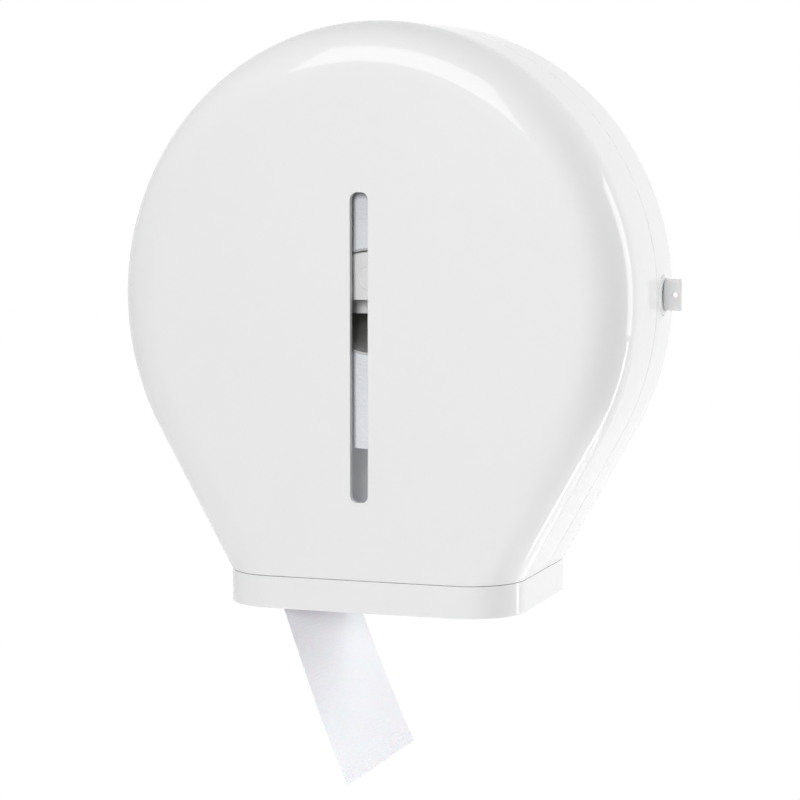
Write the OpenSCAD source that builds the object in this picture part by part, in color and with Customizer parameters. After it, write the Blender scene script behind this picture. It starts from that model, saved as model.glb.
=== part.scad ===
// Jumbo toilet roll dispenser: wall tray, side-hinged cover, base band, spindle, lock and roll.
// The wall is the plane y = 0, the front faces -Y and +Z is up. The origin is on the wall,
// at the centre of the round part of the shell.

/* [Shell] */
// Half width of the round part
shell_rx = 155.2; // [148:0.2:162]
// Half height of the round part
shell_rz = 160; // [152:1:168]
// Angle of the straight flanks from upright
flank_taper = 29.25; // [27:0.25:31]
// Depth from the wall to the front face
shell_depth = 116; // [112:1:130]
// Drop from the centre to the foot of the cover
foot_drop = 160.4; // [154:0.2:168]
// Radius of the rounding between the front face and the sides
nose_radius = 34; // [26:1:36]
// Wall thickness of the cover
cover_wall = 3; // [2.2:0.1:4]

/* [Rear case] */
// Depth from the wall to the middle of the seam
case_depth = 38; // [34:1:44]
// Wall thickness of the rim
case_wall = 3; // [2.2:0.1:4]
// Thickness of the back plate
back_thick = 3; // [2.5:0.1:4]
// Height of the lip that laps inside the cover
lip_height = 4; // [2:0.5:6]
// Wall thickness of that lip
lip_wall = 1.6; // [1:0.1:2.4]
// Distance between the wall screws, across
screw_span_x = 140; // [120:2:150]
// Distance between the wall screws, upright
screw_span_z = 120; // [100:2:130]
// Diameter of the wall screw holes
wall_hole = 5.5; // [4:0.5:6.5]
// Height of the pads round the wall screw holes
wall_pad = 2; // [1:0.5:3]

/* [Base band] */
// Height of the band
band_height = 18.3; // [14:0.1:24]
// Wall thickness of the band
band_wall = 3; // [2.2:0.1:4]
// Thickness of its floor
floor_thick = 2.5; // [2:0.1:3.5]
// Width of the floor strip between the side wall and the paper exit
floor_side = 20.4; // [18:0.2:30]
// Width of the floor strip between the front wall and the exit
floor_front = 8; // [6:0.5:10]
// Width of the floor strip between the rear wall and the exit
floor_rear = 2.2; // [1:0.1:4]
// Diameter of the thread of all small screws
screw_dia = 4; // [3:0.5:4]
// Distance from the middle of the band to its outer screws
band_screw_x = 62; // [50:1:70]
// Distance of those screws below the floor
band_screw_below = 6.8; // [6:0.1:9]

/* [Window] */
// Width of the upright window slot
window_width = 10.7; // [8:0.1:14]
// Height of its top end above the centre
window_top = 62.3; // [50:0.5:80]
// Drop of its lower end below the centre
window_foot = 115.3; // [90:0.5:125]
// Corner radius of the slot
window_corner = 4; // [2:0.5:4]
// Depth of the return wall round the slot
window_return = 4; // [3.5:0.5:7]
// Thickness of the return wall
return_wall = 1.6; // [1:0.1:2.4]

/* [Roll] */
// Radius of the partly used roll
roll_radius = 85.5; // [60:0.5:120]
// Width of the paper
roll_width = 88; // [80:1:90]
// Inner diameter of the tube
core_bore = 59; // [50:0.5:66]
// Wall thickness of the tube
core_wall = 1.2; // [0.8:0.1:2]
// Drop of the roll's axis below the centre of the shell
roll_drop = 1; // [0:0.5:4]
// Distance from the wall to the back of the roll
roll_back = 10; // [9.5:0.5:12]

/* [Spindle] */
// Wall thickness of the half-round spindle
spindle_wall = 2.5; // [2:0.1:3.5]
// Thickness of its rear floor
spindle_floor = 4; // [3:0.5:6]
// Thickness of the cap on its front end
cap_thick = 2.4; // [2:0.1:3]
// How far the cap stands proud of the roll
cap_proud = 1; // [0:0.2:3]
// Width of the stiffening keel under the spindle
keel_width = 42; // [30:1:44]
// Height of the keel
keel_height = 9.5; // [6:0.5:12]
// Length of the keel from the pad it stands on
keel_length = 67; // [40:1:80]
// Radius of the pad on the back plate that carries the spindle
pad_radius = 24; // [23:0.5:26]
// Height of that pad
pad_height = 5; // [4.5:0.5:6]

/* [Lock] */
// Height of the lock tab
tab_height = 18.4; // [16:0.2:20]
// Thickness of the tab
tab_thick = 4; // [3:0.2:4.6]
// How far the tab stands out of the side when it is pulled out
tab_reach = 9.5; // [9:0.1:13]
// Length of the tab
tab_length = 27.7; // [26:0.1:32]
// Distance from the middle of its hole to its outer end
hole_edge = 3.4; // [3:0.1:5]
// Travel of the tab
tab_travel = 9; // [6:0.5:9]
// Distance from the wall to the middle of the tab
tab_back = 18; // [17:0.5:20]
// Height of the tab's middle above the centre
lock_z = 1.5; // [-2:0.5:3]
// Diameter of the hole in the tab
tab_hole = 3.2; // [2.8:0.1:5]
// Thickness of the catch plate
catch_thick = 3; // [2:0.5:4]
// Radius of the raised round seat outside the tab
bezel_radius = 12.2; // [11.5:0.1:13]
// Height of that seat above the widest point of the side
bezel_rise = 0.4; // [0.3:0.1:1.2]
// Radius of the finger scallop in front of the tab
scallop_radius = 9; // [7:0.5:9.5]
// Wall of the guide channel in front of the tab
guide_roof = 4.5; // [3.5:0.5:6]
// Walls of the guide channel above and below the tab
guide_side = 4; // [3:0.5:5]
// Height of the studs that carry the guide
guide_stud = 5; // [4:0.5:6]
// Height of each screw foot of the guide
guide_foot = 11; // [9:0.5:13]
// Thickness of those feet
guide_foot_thick = 3; // [2:0.5:4]

/* [Hinge] */
// Diameter of the hinge pins
pin_dia = 4; // [3:0.5:4.5]
// Outer radius of the knuckles
knuckle_radius = 4; // [3.8:0.1:4.6]
// Height of the cover's knuckle
knuckle_height = 11; // [8:0.5:13]
// Height of each ear on the rear case
ear_height = 6; // [4:0.5:7]
// Height of the hinges' middles above and below the centre
hinge_spread = 17; // [16:0.5:20]
// How far the hinge axis stands outside the shell
hinge_out = 1.8; // [1.5:0.1:2.4]
// How far the hinge blocks reach into the shell from the axis
hinge_reach = 6.5; // [5.5:0.5:8]
// Height of the head of a pin
pin_head = 1.4; // [1:0.1:2]

/* [Paper tail] */
// Slope of the hanging end from upright
tail_slope = 20.5; // [15:0.5:21]
// Height of the front corner of the torn end below the centre
tail_end_front = 285.5; // [230:0.5:330]
// Height of the rear corner of the torn end below the centre
tail_end_rear = 277.5; // [230:0.5:330]
// Height below the centre at which the tail starts to lean
tail_bend = 91; // [85:1:96]
// How far the rear edge leans ahead of the front edge
tail_twist = 11; // [0:0.5:12]
// Thickness of the tail as a solid
tail_thick = 0.8; // [0.6:0.1:1.2]

/* [Tear bars] */
// Thickness of a toothed bar
bar_thick = 1.2; // [0.8:0.1:2]
// Gap between each end of a bar and the end of the exit
bar_end_gap = 2.6; // [2:0.2:8]
// Distance of the bar screws from the ends of the bar
bar_screw_in = 11; // [8:0.5:16]
// Width of the bar under the floor
bar_seat = 12; // [10:0.5:16]
// Height and half pitch of the teeth
tooth = 2.4; // [1.5:0.1:3]

/* [Clearances] */
// Gap of the seam between the cover and the rear case
seam_gap = 0.8; // [0.4:0.1:1.2]
// Gap between the cover's foot and the base band
foot_gap = 0.7; // [0.4:0.1:1.2]
// Gap round parts that slide or swing past each other
run_gap = 0.4; // [0.3:0.05:0.6]
// Radial gap of pins and screws in their holes
bore_gap = 0.05; // [0.02:0.01:0.08]
// Radial gap between the tube and the spindle
core_gap = 0.6; // [0.4:0.1:0.9]
// Gap between the tail and the roll
soft_gap = 0.4; // [0.3:0.1:0.6]

/* [Hidden] */

$fn = 96;
eps = 0.01;         // overlap of pieces that merge, and run-out of cuts
arc_steps = 72;     // straight steps round the shell
nose_steps = 10;    // steps from the side to the front
tail_steps = 16;    // steps along the tail
cut = 1;            // run-out of a bore past the faces that it goes through

// Outline of the shell: an elliptic arc with straight tapered flanks below.
tangent_a = atan(tan(flank_taper) * shell_rz / shell_rx);
tangent_z = -shell_rz * sin(tangent_a);
function flank_x(z) = shell_rx * cos(tangent_a) + (z - tangent_z) * tan(flank_taper);
function outward(t) =
  let (n = [shell_rz * cos(t), shell_rx * sin(t)]) n / norm(n);
function arc_point(t, inset) = [shell_rx * cos(t), shell_rz * sin(t)] - inset * outward(t);
function foot_x(inset, foot) = flank_x(-foot) - inset / cos(flank_taper);
function shell_outline(inset, foot) = concat(
  [[foot_x(inset, foot), -foot]],
  [for (k = [0 : arc_steps])
    arc_point(-tangent_a + (180 + 2 * tangent_a) * k / arc_steps, inset)],
  [[-foot_x(inset, foot), -foot]]);
function side_x(z) = shell_rx * sqrt(1 - pow(z / shell_rz, 2));

// Cover
cover_back = case_depth + seam_gap / 2;
case_front = case_depth - seam_gap / 2;
nose_back = shell_depth - nose_radius;

// Base band
band_top = foot_drop + foot_gap;
band_bottom = band_top + band_height;
band_half = flank_x(-foot_drop);
rear_wall_y = back_thick + run_gap;
exit_half = band_half - band_wall - floor_side;
exit_back = rear_wall_y + band_wall + floor_rear;
exit_front = shell_depth - band_wall - floor_front;
skirt_half = band_half - band_wall - run_gap;
skirt_rise = 2;     // the skirt ends this far above the foot of the band
skirt_foot = band_bottom - skirt_rise;
skirt_root = 10;    // the skirt overlaps the back plate by this much
band_screw_drop = band_top + floor_thick + band_screw_below;
screw_short = 0.3;  // a screw ends this far short of the far face
head_radius = screw_dia * 0.95;
head_height = screw_dia * 0.55;
shank_radius = screw_dia / 2;
screw_bore = shank_radius + bore_gap;

// Roll and spindle
roll_front = roll_back + roll_width;
core_radius = core_bore / 2 + core_wall;
spindle_radius = core_bore / 2 - core_gap;
spindle_back = back_thick + pad_height;
cap_front = roll_front + cap_proud;
spindle_front = cap_front - cap_thick;
cap_bevel = 1;
keel_wall = 2.5;
keel_front = spindle_back + keel_length;
stud_radius = 4.6;
stud_length = 16;
stud_spread = 14;
stud_low = 9;
stud_high = 18;
stud_places = [[-stud_spread, stud_low], [stud_spread, stud_low], [0, stud_high]];
stud_bite = 12;     // length of a spindle screw inside its stud
head_sink = 4;
cap_screw_x = 17;
cap_screw_z = 6.6;
cap_screw_places = [[-cap_screw_x, cap_screw_z], [cap_screw_x, cap_screw_z]];
cap_screw_length = 10;
mark_z = 13;        // height of the round mark on the cap
mark_radius = 7;
mark_width = 0.8;
mark_rise = 0.4;

// Lock
tab_out = shell_rx + tab_reach;
tab_in = tab_out - tab_length;
guide_gap = 1;      // gap between the guide and the rim
guide_short = 1;    // the pulled-out tab still reaches this far past the guide
guide_out = shell_rx - case_wall - guide_gap;
guide_in = tab_in + guide_short;
guide_base = back_thick + guide_stud;
guide_front = tab_back + tab_thick / 2 + guide_roof;
guide_half = tab_height / 2 + guide_side;
guide_foot_half = guide_half + guide_foot;
foot_short = 2.5;   // the feet end this far short of the guide, where the shell curves in
guide_foot_out = guide_out - foot_short;
guide_screw_x = (guide_in + guide_foot_out) / 2;
guide_screw_dz = guide_half + guide_foot / 2;
tab_front = tab_back + tab_thick / 2;
tab_slot_in = shell_rx - 8;
tab_slot_out = shell_rx + 4;
bezel_shift = 1;    // the round seat is centred this far in front of the tab
groove_depth = 0.8;
groove_play = 0.6;  // play of the nub in the groove, each way
strip = 0.4;
strip_width = 8;
strip_rise = 2.4;
strip_y = tab_front + strip_rise;
kerf_play = 0.1;
nub_x = (guide_in + guide_out) / 2;
nub_half = 0.4;
nub_foot = 2;
strip_end = 1.6;    // the strip ends this far inside the guide
window_play = 1.5;  // play round the nub in the guide's window
strip_half = (guide_out - guide_in) / 2 - strip_end;
catch_gap = 2.5;    // gap between the catch and the pulled-out tab
catch_out = tab_in - catch_gap;
catch_in = catch_out - catch_thick;
catch_rim = 6;      // width of the catch plate round its eye
catch_back = tab_back - tab_thick / 2 - catch_rim;
catch_above = 9;    // distance from the lip to the shelf
catch_seat = case_depth + lip_height + catch_above;
catch_half = guide_half;
catch_side_gap = 2; // gap between the catch foot and the cover's wall
catch_foot_out = shell_rx - cover_wall - catch_side_gap;
catch_bite = 6;     // length of a catch screw inside the shelf
shelf_depth = 9;
shelf_shift = 2;    // the screws stand this far outside the middle of the foot
shelf_x = (catch_in + catch_foot_out) / 2 + shelf_shift;
shelf_screw_in = 6; // distance of the screws from the ends of the shelf
shelf_dz = catch_half - shelf_screw_in;

// Hinge
hinge_x = -(shell_rx + hinge_out);
notch_gap = 0.6;    // gap round a barrel in the notch of the other shell
notch_radius = knuckle_radius + notch_gap;
hinge_half = knuckle_height / 2 + run_gap + ear_height;
pin_past = 1;       // the pin stands out of the ears this far
pin_head_radius = knuckle_radius - 0.8;

// Rear case
lip_root = 6;       // the lip is rooted on the rim over this depth
lip_end_gap = 3;    // the lip ends this far from the hinges
lip_gap_width = 20;
pad_margin = 5;     // width of the pads round the wall screw holes
sink_depth = 2.6;   // depth and widening of the countersinks

// Paper tail: upright beside the roll, then leaning, with a round bend between.
tail_x = -(roll_radius + soft_gap);
tail_start = roll_drop;
bend_half = 16;
tail_run = tan(tail_slope);
twist_top = tail_bend - bend_half;

module forwards(from, to) {
  translate([0, -from, 0]) rotate([90, 0, 0]) linear_extrude(to - from) children();
}

module bore_y(x, z, r, from, to) {
  translate([x, -from, z]) rotate([90, 0, 0]) cylinder(r = r, h = to - from, $fn = 40);
}

module bore_x(y, z, r, from, to) {
  translate([from, y, z]) rotate([0, 90, 0]) cylinder(r = r, h = to - from);
}

// A round-cornered upright bar in the plane, made of true arcs.
module round_bar(half, top, foot, r) {
  for (x = [-half + r, half - r], z = [foot + r, top - r]) translate([x, z]) circle(r, $fn = 32);
  translate([-half, foot + r]) square([2 * half, top - foot - 2 * r]);
  translate([-half + r, foot]) square([2 * half - 2 * r, top - foot]);
}

// Pan-head screw along -Y from the point where its head seats; turned by its caller.
module screw(length) {
  cylinder(r = head_radius, h = head_height, $fn = 40);
  translate([0, 0, -length]) cylinder(r = shank_radius, h = length + eps, $fn = 40);
}

// ---- Cover ----------------------------------------------------------------

// Levels of the cover from the seam to the front: [depth, inset].
function cover_levels(wall) = concat(
  [[cover_back, wall], [nose_back, wall]],
  [for (k = [1 : nose_steps])
    let (a = 90 * k / nose_steps, r = nose_radius - wall)
    [nose_back + r * sin(a), wall + (nose_radius - wall) * cos(flank_taper) * (1 - cos(a))]]);

module cover_shell() {
  outer = cover_levels(0);
  inner = cover_levels(cover_wall);
  levels = concat(outer, [for (k = [len(inner) - 1 : -1 : 0]) inner[k]]);
  points = [for (level = levels, p = shell_outline(level[1], foot_drop)) [p[0], -level[0], p[1]]];
  n = arc_steps + 3;
  m = len(outer);
  last = len(levels) - 1;
  // side strips, outside then inside, split into triangles
  strips = [for (k = [0 : last - 1], i = [0 : n - 2], half = [0, 1]) if (k != m - 1)
    let (a = k * n + i, b = a + n)
    half == 0 ? [b, b + 1, a + 1] : [b, a + 1, a]];
  front_out = [for (i = [n - 1 : -1 : 0]) (m - 1) * n + i];
  front_in = [for (i = [0 : n - 1]) m * n + i];
  seam_edge = [for (i = [0 : n - 2]) [i, i + 1, last * n + i + 1, last * n + i]];
  foot_sides = [for (k = [0 : m - 2], side = [0, n - 1])
    let (a = k * n + side, b = (last - k) * n + side)
    side == 0 ? [a, b, b - n, a + n] : [a, a + n, b - n, b]];
  foot_front = [[(m - 1) * n, m * n, m * n + n - 1, m * n - 1]];
  polyhedron(points, concat(strips, [front_out, front_in], seam_edge, foot_sides, foot_front));
}

module front_cover() {
  color("white") difference() {
    union() {
      cover_shell();
      // return wall round the window
      forwards(shell_depth - window_return, shell_depth - cover_wall + eps)
        round_bar(window_width / 2 + return_wall, window_top + return_wall,
          -window_foot - return_wall, window_corner + return_wall);
      // hinge knuckles
      for (s = [-1, 1]) knuckle(s * hinge_spread, knuckle_height, -1);
      // shelf that carries the catch
      translate([catch_in, -(catch_seat + shelf_depth), lock_z - catch_half])
        cube([side_x(catch_half) - cover_wall / 2 - catch_in, shelf_depth, 2 * catch_half]);
    }
    forwards(shell_depth - window_return - cut, shell_depth + cut)
      round_bar(window_width / 2, window_top, -window_foot, window_corner);
    for (s = [-1, 1]) {
      hinge_bore(s * hinge_spread);
      for (e = [-1, 1]) ear_notch(s * hinge_spread + e * (knuckle_height + ear_height) / 2 + e * run_gap,
        ear_height);
      bore_y(shelf_x, lock_z + s * shelf_dz, screw_bore, catch_seat - cut,
        catch_seat + catch_bite + cut);
    }
  }
}

// A knuckle or ear: a barrel on the hinge axis with a block towards its own shell (dir -1 = forwards).
module knuckle(z, height, dir) {
  translate([hinge_x, -case_depth, z - height / 2]) {
    cylinder(r = knuckle_radius, h = height, $fn = 48);
    translate([-knuckle_radius, dir < 0 ? -2 * knuckle_radius : 0, 0])
      cube([knuckle_radius + hinge_reach, 2 * knuckle_radius, height]);
  }
}

module hinge_bore(z) {
  translate([hinge_x, -case_depth, z - hinge_half - cut])
    cylinder(r = pin_dia / 2 + bore_gap, h = 2 * (hinge_half + cut), $fn = 40);
}

module ear_notch(z, height) {
  translate([hinge_x, -case_depth, z - height / 2 - run_gap])
    cylinder(r = notch_radius, h = height + 2 * run_gap, $fn = 48);
}

module cover_catch() {
  color("gainsboro") difference() {
    union() {
      translate([catch_in, -catch_seat, lock_z - catch_half])
        cube([catch_thick, catch_seat - catch_back, 2 * catch_half]);
      translate([catch_in, -catch_seat, lock_z - catch_half])
        cube([catch_foot_out - catch_in, catch_thick, 2 * catch_half]);
    }
    translate([catch_in - cut, -tab_front - 2 * run_gap, lock_z - tab_height / 2 - 2 * run_gap])
      cube([catch_thick + 2 * cut, tab_thick + 4 * run_gap, tab_height + 4 * run_gap]);
    for (s = [-1, 1])
      bore_y(shelf_x, lock_z + s * shelf_dz, screw_bore, catch_seat - catch_thick - cut,
        catch_seat + cut);
  }
}

module cover_catch_screws() {
  color("silver") for (s = [-1, 1])
    translate([shelf_x, -(catch_seat - catch_thick), lock_z + s * shelf_dz])
      rotate([-90, 0, 0]) screw(catch_thick + catch_bite);
}

// ---- Rear case ------------------------------------------------------------

module case_body() {
  forwards(0, back_thick) polygon(shell_outline(0, foot_drop));
  forwards(0, case_front) difference() {
    polygon(shell_outline(0, foot_drop));
    polygon(shell_outline(case_wall, foot_drop + cut));
  }
  // lip that laps inside the cover, rooted on the rim
  difference() {
    forwards(case_front - lip_root, case_depth + lip_height) difference() {
      polygon(shell_outline(cover_wall + run_gap, foot_drop));
      polygon(shell_outline(cover_wall + run_gap + lip_wall, foot_drop + cut));
    }
    translate([hinge_x, -shell_depth, -hinge_spread - hinge_half - lip_end_gap])
      cube([lip_gap_width, shell_depth, 2 * (hinge_spread + hinge_half + lip_end_gap)]);
  }
  // web between the rim and the lip, where the lip stands inside the rim
  forwards(case_front - lip_root, case_front) difference() {
    polygon(shell_outline(case_wall - eps, foot_drop));
    polygon(shell_outline(cover_wall + run_gap + eps, foot_drop + cut));
  }
  // skirt behind the base band
  translate([-skirt_half, -back_thick, -skirt_foot])
    cube([2 * skirt_half, back_thick, skirt_foot - foot_drop + skirt_root]);
  for (x = [-1, 1], z = [-1, 1])
    bore_y(x * screw_span_x / 2, z * screw_span_z / 2, wall_hole / 2 + pad_margin,
      back_thick - eps, back_thick + wall_pad);
  bore_y(0, 0, pad_radius, back_thick - eps, back_thick + pad_height);
  for (s = [-1, 1]) {
    bore_y(guide_screw_x, lock_z + s * guide_screw_dz, stud_radius, back_thick - eps, guide_base);
    for (e = [-1, 1])
      knuckle(s * hinge_spread + e * (knuckle_height / 2 + run_gap + ear_height / 2), ear_height, 1);
  }
  bore_x(-tab_back - bezel_shift, lock_z, bezel_radius, shell_rx - case_wall / 2,
    shell_rx + bezel_rise);
}

module rear_case() {
  color("white") difference() {
    case_body();
    for (x = [-1, 1], z = [-1, 1]) {
      bore_y(x * screw_span_x / 2, z * screw_span_z / 2, wall_hole / 2, -cut,
        back_thick + wall_pad + cut);
      // countersink on the front side
      translate([x * screw_span_x / 2, -(back_thick + wall_pad) - eps, z * screw_span_z / 2])
        rotate([-90, 0, 0]) cylinder(r1 = wall_hole / 2 + sink_depth, r2 = wall_hole / 2,
          h = sink_depth, $fn = 40);
    }
    for (p = stud_places) {
      bore_y(p[0], p[1], screw_bore, -cut, spindle_back + cut);
      bore_y(p[0], p[1], head_radius + run_gap, -cut, head_sink);
    }
    for (x = [-1, 0, 1])
      bore_y(x * band_screw_x, -band_screw_drop, screw_bore, -cut, back_thick + cut);
    for (s = [-1, 1]) {
      hinge_bore(s * hinge_spread);
      ear_notch(s * hinge_spread, knuckle_height);
      bore_y(guide_screw_x, lock_z + s * guide_screw_dz, screw_bore, -cut, guide_base + cut);
    }
    // slot for the tab and the finger scallop in front of it
    translate([tab_slot_in, -tab_front - run_gap, lock_z - tab_height / 2 - run_gap])
      cube([tab_slot_out - tab_slot_in, tab_thick + 2 * run_gap, tab_height + 2 * run_gap]);
    intersection() {
      bore_x(-tab_back - bezel_shift, lock_z, scallop_radius, tab_slot_in, tab_slot_out);
      translate([tab_slot_in, -tab_front - scallop_radius, lock_z - scallop_radius])
        cube([tab_slot_out - tab_slot_in, scallop_radius, 2 * scallop_radius]);
    }
  }
}

// ---- Base band ------------------------------------------------------------

// Plan of the band, from the wall to the front, with the front corners rounded.
module band_plan(inset, back) {
  half = band_half - inset;
  front = shell_depth - inset;
  r = nose_radius - inset;
  translate([-half, -(front - r)]) square([2 * half, front - r - back]);
  translate([-(half - r), -front]) square([2 * (half - r), front - back]);
  for (s = [-1, 1]) translate([s * (half - r), -(front - r)]) circle(r);
}

module base_band() {
  color("white") difference() {
    union() {
      translate([0, 0, -band_bottom]) linear_extrude(band_height) difference() {
        band_plan(0, 0);
        band_plan(band_wall, -cut);
      }
      translate([0, 0, -band_top - floor_thick]) linear_extrude(floor_thick)
        difference() {
          band_plan(band_wall - eps, rear_wall_y);
          translate([-exit_half, -exit_front]) square([2 * exit_half, exit_front - exit_back]);
        }
      translate([-(band_half - band_wall / 2), -(rear_wall_y + band_wall), -band_bottom])
        cube([2 * band_half - band_wall, band_wall, band_height]);
    }
    for (x = [-1, 0, 1])
      bore_y(x * band_screw_x, -band_screw_drop, screw_bore, rear_wall_y - cut,
        rear_wall_y + band_wall + cut);
    for (p = bar_screw_places) translate([p[0], p[1], -band_top - floor_thick - cut])
      cylinder(r = screw_bore, h = floor_thick + 2 * cut, $fn = 40);
  }
}

module base_band_screws() {
  color("silver") for (x = [-1, 0, 1])
    translate([x * band_screw_x, -(rear_wall_y + band_wall), -band_screw_drop])
      rotate([90, 0, 0]) screw(rear_wall_y + band_wall - screw_short);
}

bar_mid = -(exit_back + exit_front) / 2;
bar_length = exit_front - exit_back - 2 * bar_end_gap;
bar_screw_places = [for (x = [-1, 1], y = [-1, 1])
  [x * (exit_half + bar_seat / 2), bar_mid + y * (bar_length / 2 - bar_screw_in)]];

// Toothed bar on the left edge of the exit; its teeth point to the right.
module tear_bar() {
  teeth = floor(bar_length / (2 * tooth));
  profile = concat(
    [[0, bar_length / 2], [-bar_seat, bar_length / 2], [-bar_seat, -bar_length / 2],
      [0, -bar_length / 2]],
    [for (k = [0 : teeth - 1], half = [0, 1])
      [half == 0 ? 0 : tooth, (2 * k + half - teeth) * tooth]],
    [[0, teeth * tooth]]);
  translate([0, 0, -band_top - floor_thick - bar_thick]) difference() {
    linear_extrude(bar_thick) intersection() {
      translate([-exit_half, bar_mid]) polygon(profile);
      band_plan(band_wall + run_gap, rear_wall_y + band_wall + run_gap);
    }
    for (p = bar_screw_places) translate([p[0], p[1], -cut])
      cylinder(r = screw_bore, h = bar_thick + 2 * cut, $fn = 40);
  }
}

module tear_bar_left() { color("silver") tear_bar(); }

module tear_bar_right() { color("silver") mirror([1, 0, 0]) tear_bar(); }

module tear_bar_screws() {
  color("silver") for (p = bar_screw_places)
    translate([p[0], p[1], -band_top - floor_thick - bar_thick])
      rotate([180, 0, 0]) screw(floor_thick + bar_thick - screw_short);
}

// ---- Spindle --------------------------------------------------------------

// Flat-bottomed half round, concentric with the tube; its floor is at z = 0.
module half_round(inset) {
  intersection() {
    translate([0, -roll_drop]) circle(spindle_radius - inset);
    translate([-spindle_radius, inset]) square([2 * spindle_radius, spindle_radius]);
  }
}

module spindle() {
  color("whitesmoke") difference() {
    union() {
      forwards(spindle_back, spindle_front) difference() {
        half_round(0);
        half_round(spindle_wall);
      }
      forwards(spindle_back, spindle_back + spindle_floor) half_round(0);
      for (p = stud_places)
        bore_y(p[0], p[1], stud_radius, spindle_back, spindle_back + stud_length);
      for (p = cap_screw_places)
        bore_y(p[0], p[1], stud_radius, spindle_front - stud_length, spindle_front);
      // keel, open at the back against the pad
      difference() {
        translate([-keel_width / 2, -keel_front, -keel_height])
          cube([keel_width, keel_length, keel_height + eps]);
        translate([-keel_width / 2 + keel_wall, -keel_front + keel_wall, -keel_height + keel_wall])
          cube([keel_width - 2 * keel_wall, keel_length, keel_height - keel_wall]);
      }
    }
    for (p = stud_places)
      bore_y(p[0], p[1], screw_bore, spindle_back - cut, spindle_back + stud_bite + 2 * cut);
    for (p = cap_screw_places)
      bore_y(p[0], p[1], screw_bore, spindle_front - cap_screw_length - cut, spindle_front + cut);
  }
}

module spindle_cap() {
  color("whitesmoke") difference() {
    union() {
      intersection() {
        translate([0, -spindle_front, -roll_drop]) rotate([90, 0, 0]) union() {
          cylinder(r = spindle_radius, h = cap_thick - cap_bevel + eps);
          translate([0, 0, cap_thick - cap_bevel])
            cylinder(r1 = spindle_radius, r2 = spindle_radius - cap_bevel, h = cap_bevel);
        }
        translate([-spindle_radius, -cap_front, 0])
          cube([2 * spindle_radius, cap_thick, spindle_radius]);
      }
      forwards(cap_front - eps, cap_front + mark_rise) translate([0, mark_z]) difference() {
        circle(mark_radius);
        circle(mark_radius - mark_width);
      }
    }
    for (p = cap_screw_places)
      bore_y(p[0], p[1], screw_bore, spindle_front - cut, cap_front + cut);
  }
}

module spindle_screws() {
  color("silver") for (p = stud_places)
    translate([p[0], -head_sink, p[1]])
      rotate([-90, 0, 0]) screw(spindle_back - head_sink + stud_bite);
}

module spindle_cap_screws() {
  color("silver") for (p = cap_screw_places)
    translate([p[0], -cap_front, p[1]]) rotate([90, 0, 0]) screw(cap_screw_length);
}

// ---- Hinge pins -----------------------------------------------------------

// The heads stand at the outer ends, where the shell has curved away from the hinge axis.
module hinge_pin(side) {
  color("silver") translate([hinge_x, -case_depth, side * hinge_spread]) mirror([0, 0, side < 0 ? 1 : 0]) {
    translate([0, 0, -hinge_half - pin_past])
      cylinder(r = pin_dia / 2, h = 2 * hinge_half + pin_past + eps, $fn = 40);
    translate([0, 0, hinge_half]) cylinder(r = pin_head_radius, h = pin_head, $fn = 40);
  }
}

module hinge_pin_upper() { hinge_pin(1); }

module hinge_pin_lower() { hinge_pin(-1); }

// ---- Lock -----------------------------------------------------------------

module lock_guide() {
  color("gainsboro") difference() {
    union() {
      translate([guide_in, -guide_front, lock_z - guide_half])
        cube([guide_out - guide_in, guide_front - guide_base, 2 * guide_half]);
      translate([guide_in, -guide_base - guide_foot_thick, lock_z - guide_foot_half])
        cube([guide_foot_out - guide_in, guide_foot_thick, 2 * guide_foot_half]);
    }
    // channel for the tab
    translate([guide_in - cut, -tab_front - run_gap, lock_z - tab_height / 2 - run_gap])
      cube([guide_out - guide_in + 2 * cut, tab_thick + 2 * run_gap, tab_height + 2 * run_gap]);
    // window and kerf for the leaf spring
    translate([nub_x - nub_foot - window_play, -guide_front - cut,
      lock_z - strip_width / 2 - run_gap])
      cube([2 * (nub_foot + window_play), guide_front - tab_front + cut,
        strip_width + 2 * run_gap]);
    translate([nub_x - strip_half - run_gap, -strip_y - strip - kerf_play,
      lock_z - strip_width / 2 - run_gap])
      cube([2 * (strip_half + run_gap), strip + 2 * kerf_play, strip_width + 2 * run_gap]);
    for (s = [-1, 1])
      bore_y(guide_screw_x, lock_z + s * guide_screw_dz, screw_bore, guide_base - cut,
        guide_base + guide_foot_thick + cut);
  }
}

module lock_guide_screws() {
  color("silver") for (s = [-1, 1])
    translate([guide_screw_x, -guide_base - guide_foot_thick, lock_z + s * guide_screw_dz])
      rotate([90, 0, 0]) screw(guide_base + guide_foot_thick - screw_short);
}

// Leaf spring whose nub runs in the tab's groove and stops it at both ends.
module lock_detent_spring() {
  tip = tab_front - groove_depth + 0.3;
  color("silver") translate([nub_x, 0, lock_z - strip_width / 2]) linear_extrude(strip_width)
    polygon([[-strip_half, -strip_y], [-nub_foot, -strip_y], [-nub_half, -tip], [nub_half, -tip],
      [nub_foot, -strip_y], [strip_half, -strip_y], [strip_half, -strip_y - strip],
      [nub_foot - strip / 2, -strip_y - strip], [nub_half - strip / 2, -tip - strip],
      [-nub_half + strip / 2, -tip - strip], [-nub_foot + strip / 2, -strip_y - strip],
      [-strip_half, -strip_y - strip]]);
}

module lock_tab() {
  color("whitesmoke") difference() {
    translate([tab_in, -tab_front, lock_z - tab_height / 2])
      cube([tab_out - tab_in, tab_thick, tab_height]);
    bore_y(tab_out - hole_edge, lock_z, tab_hole / 2, tab_back - tab_thick, tab_back + tab_thick);
    // groove that the leaf spring's nub runs in
    translate([nub_x - 2 * groove_play, -tab_front - cut, lock_z - strip_width / 2 - groove_play])
      cube([tab_travel + 4 * groove_play, groove_depth + cut, strip_width + 2 * groove_play]);
  }
}

// ---- Roll and tail --------------------------------------------------------

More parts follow.
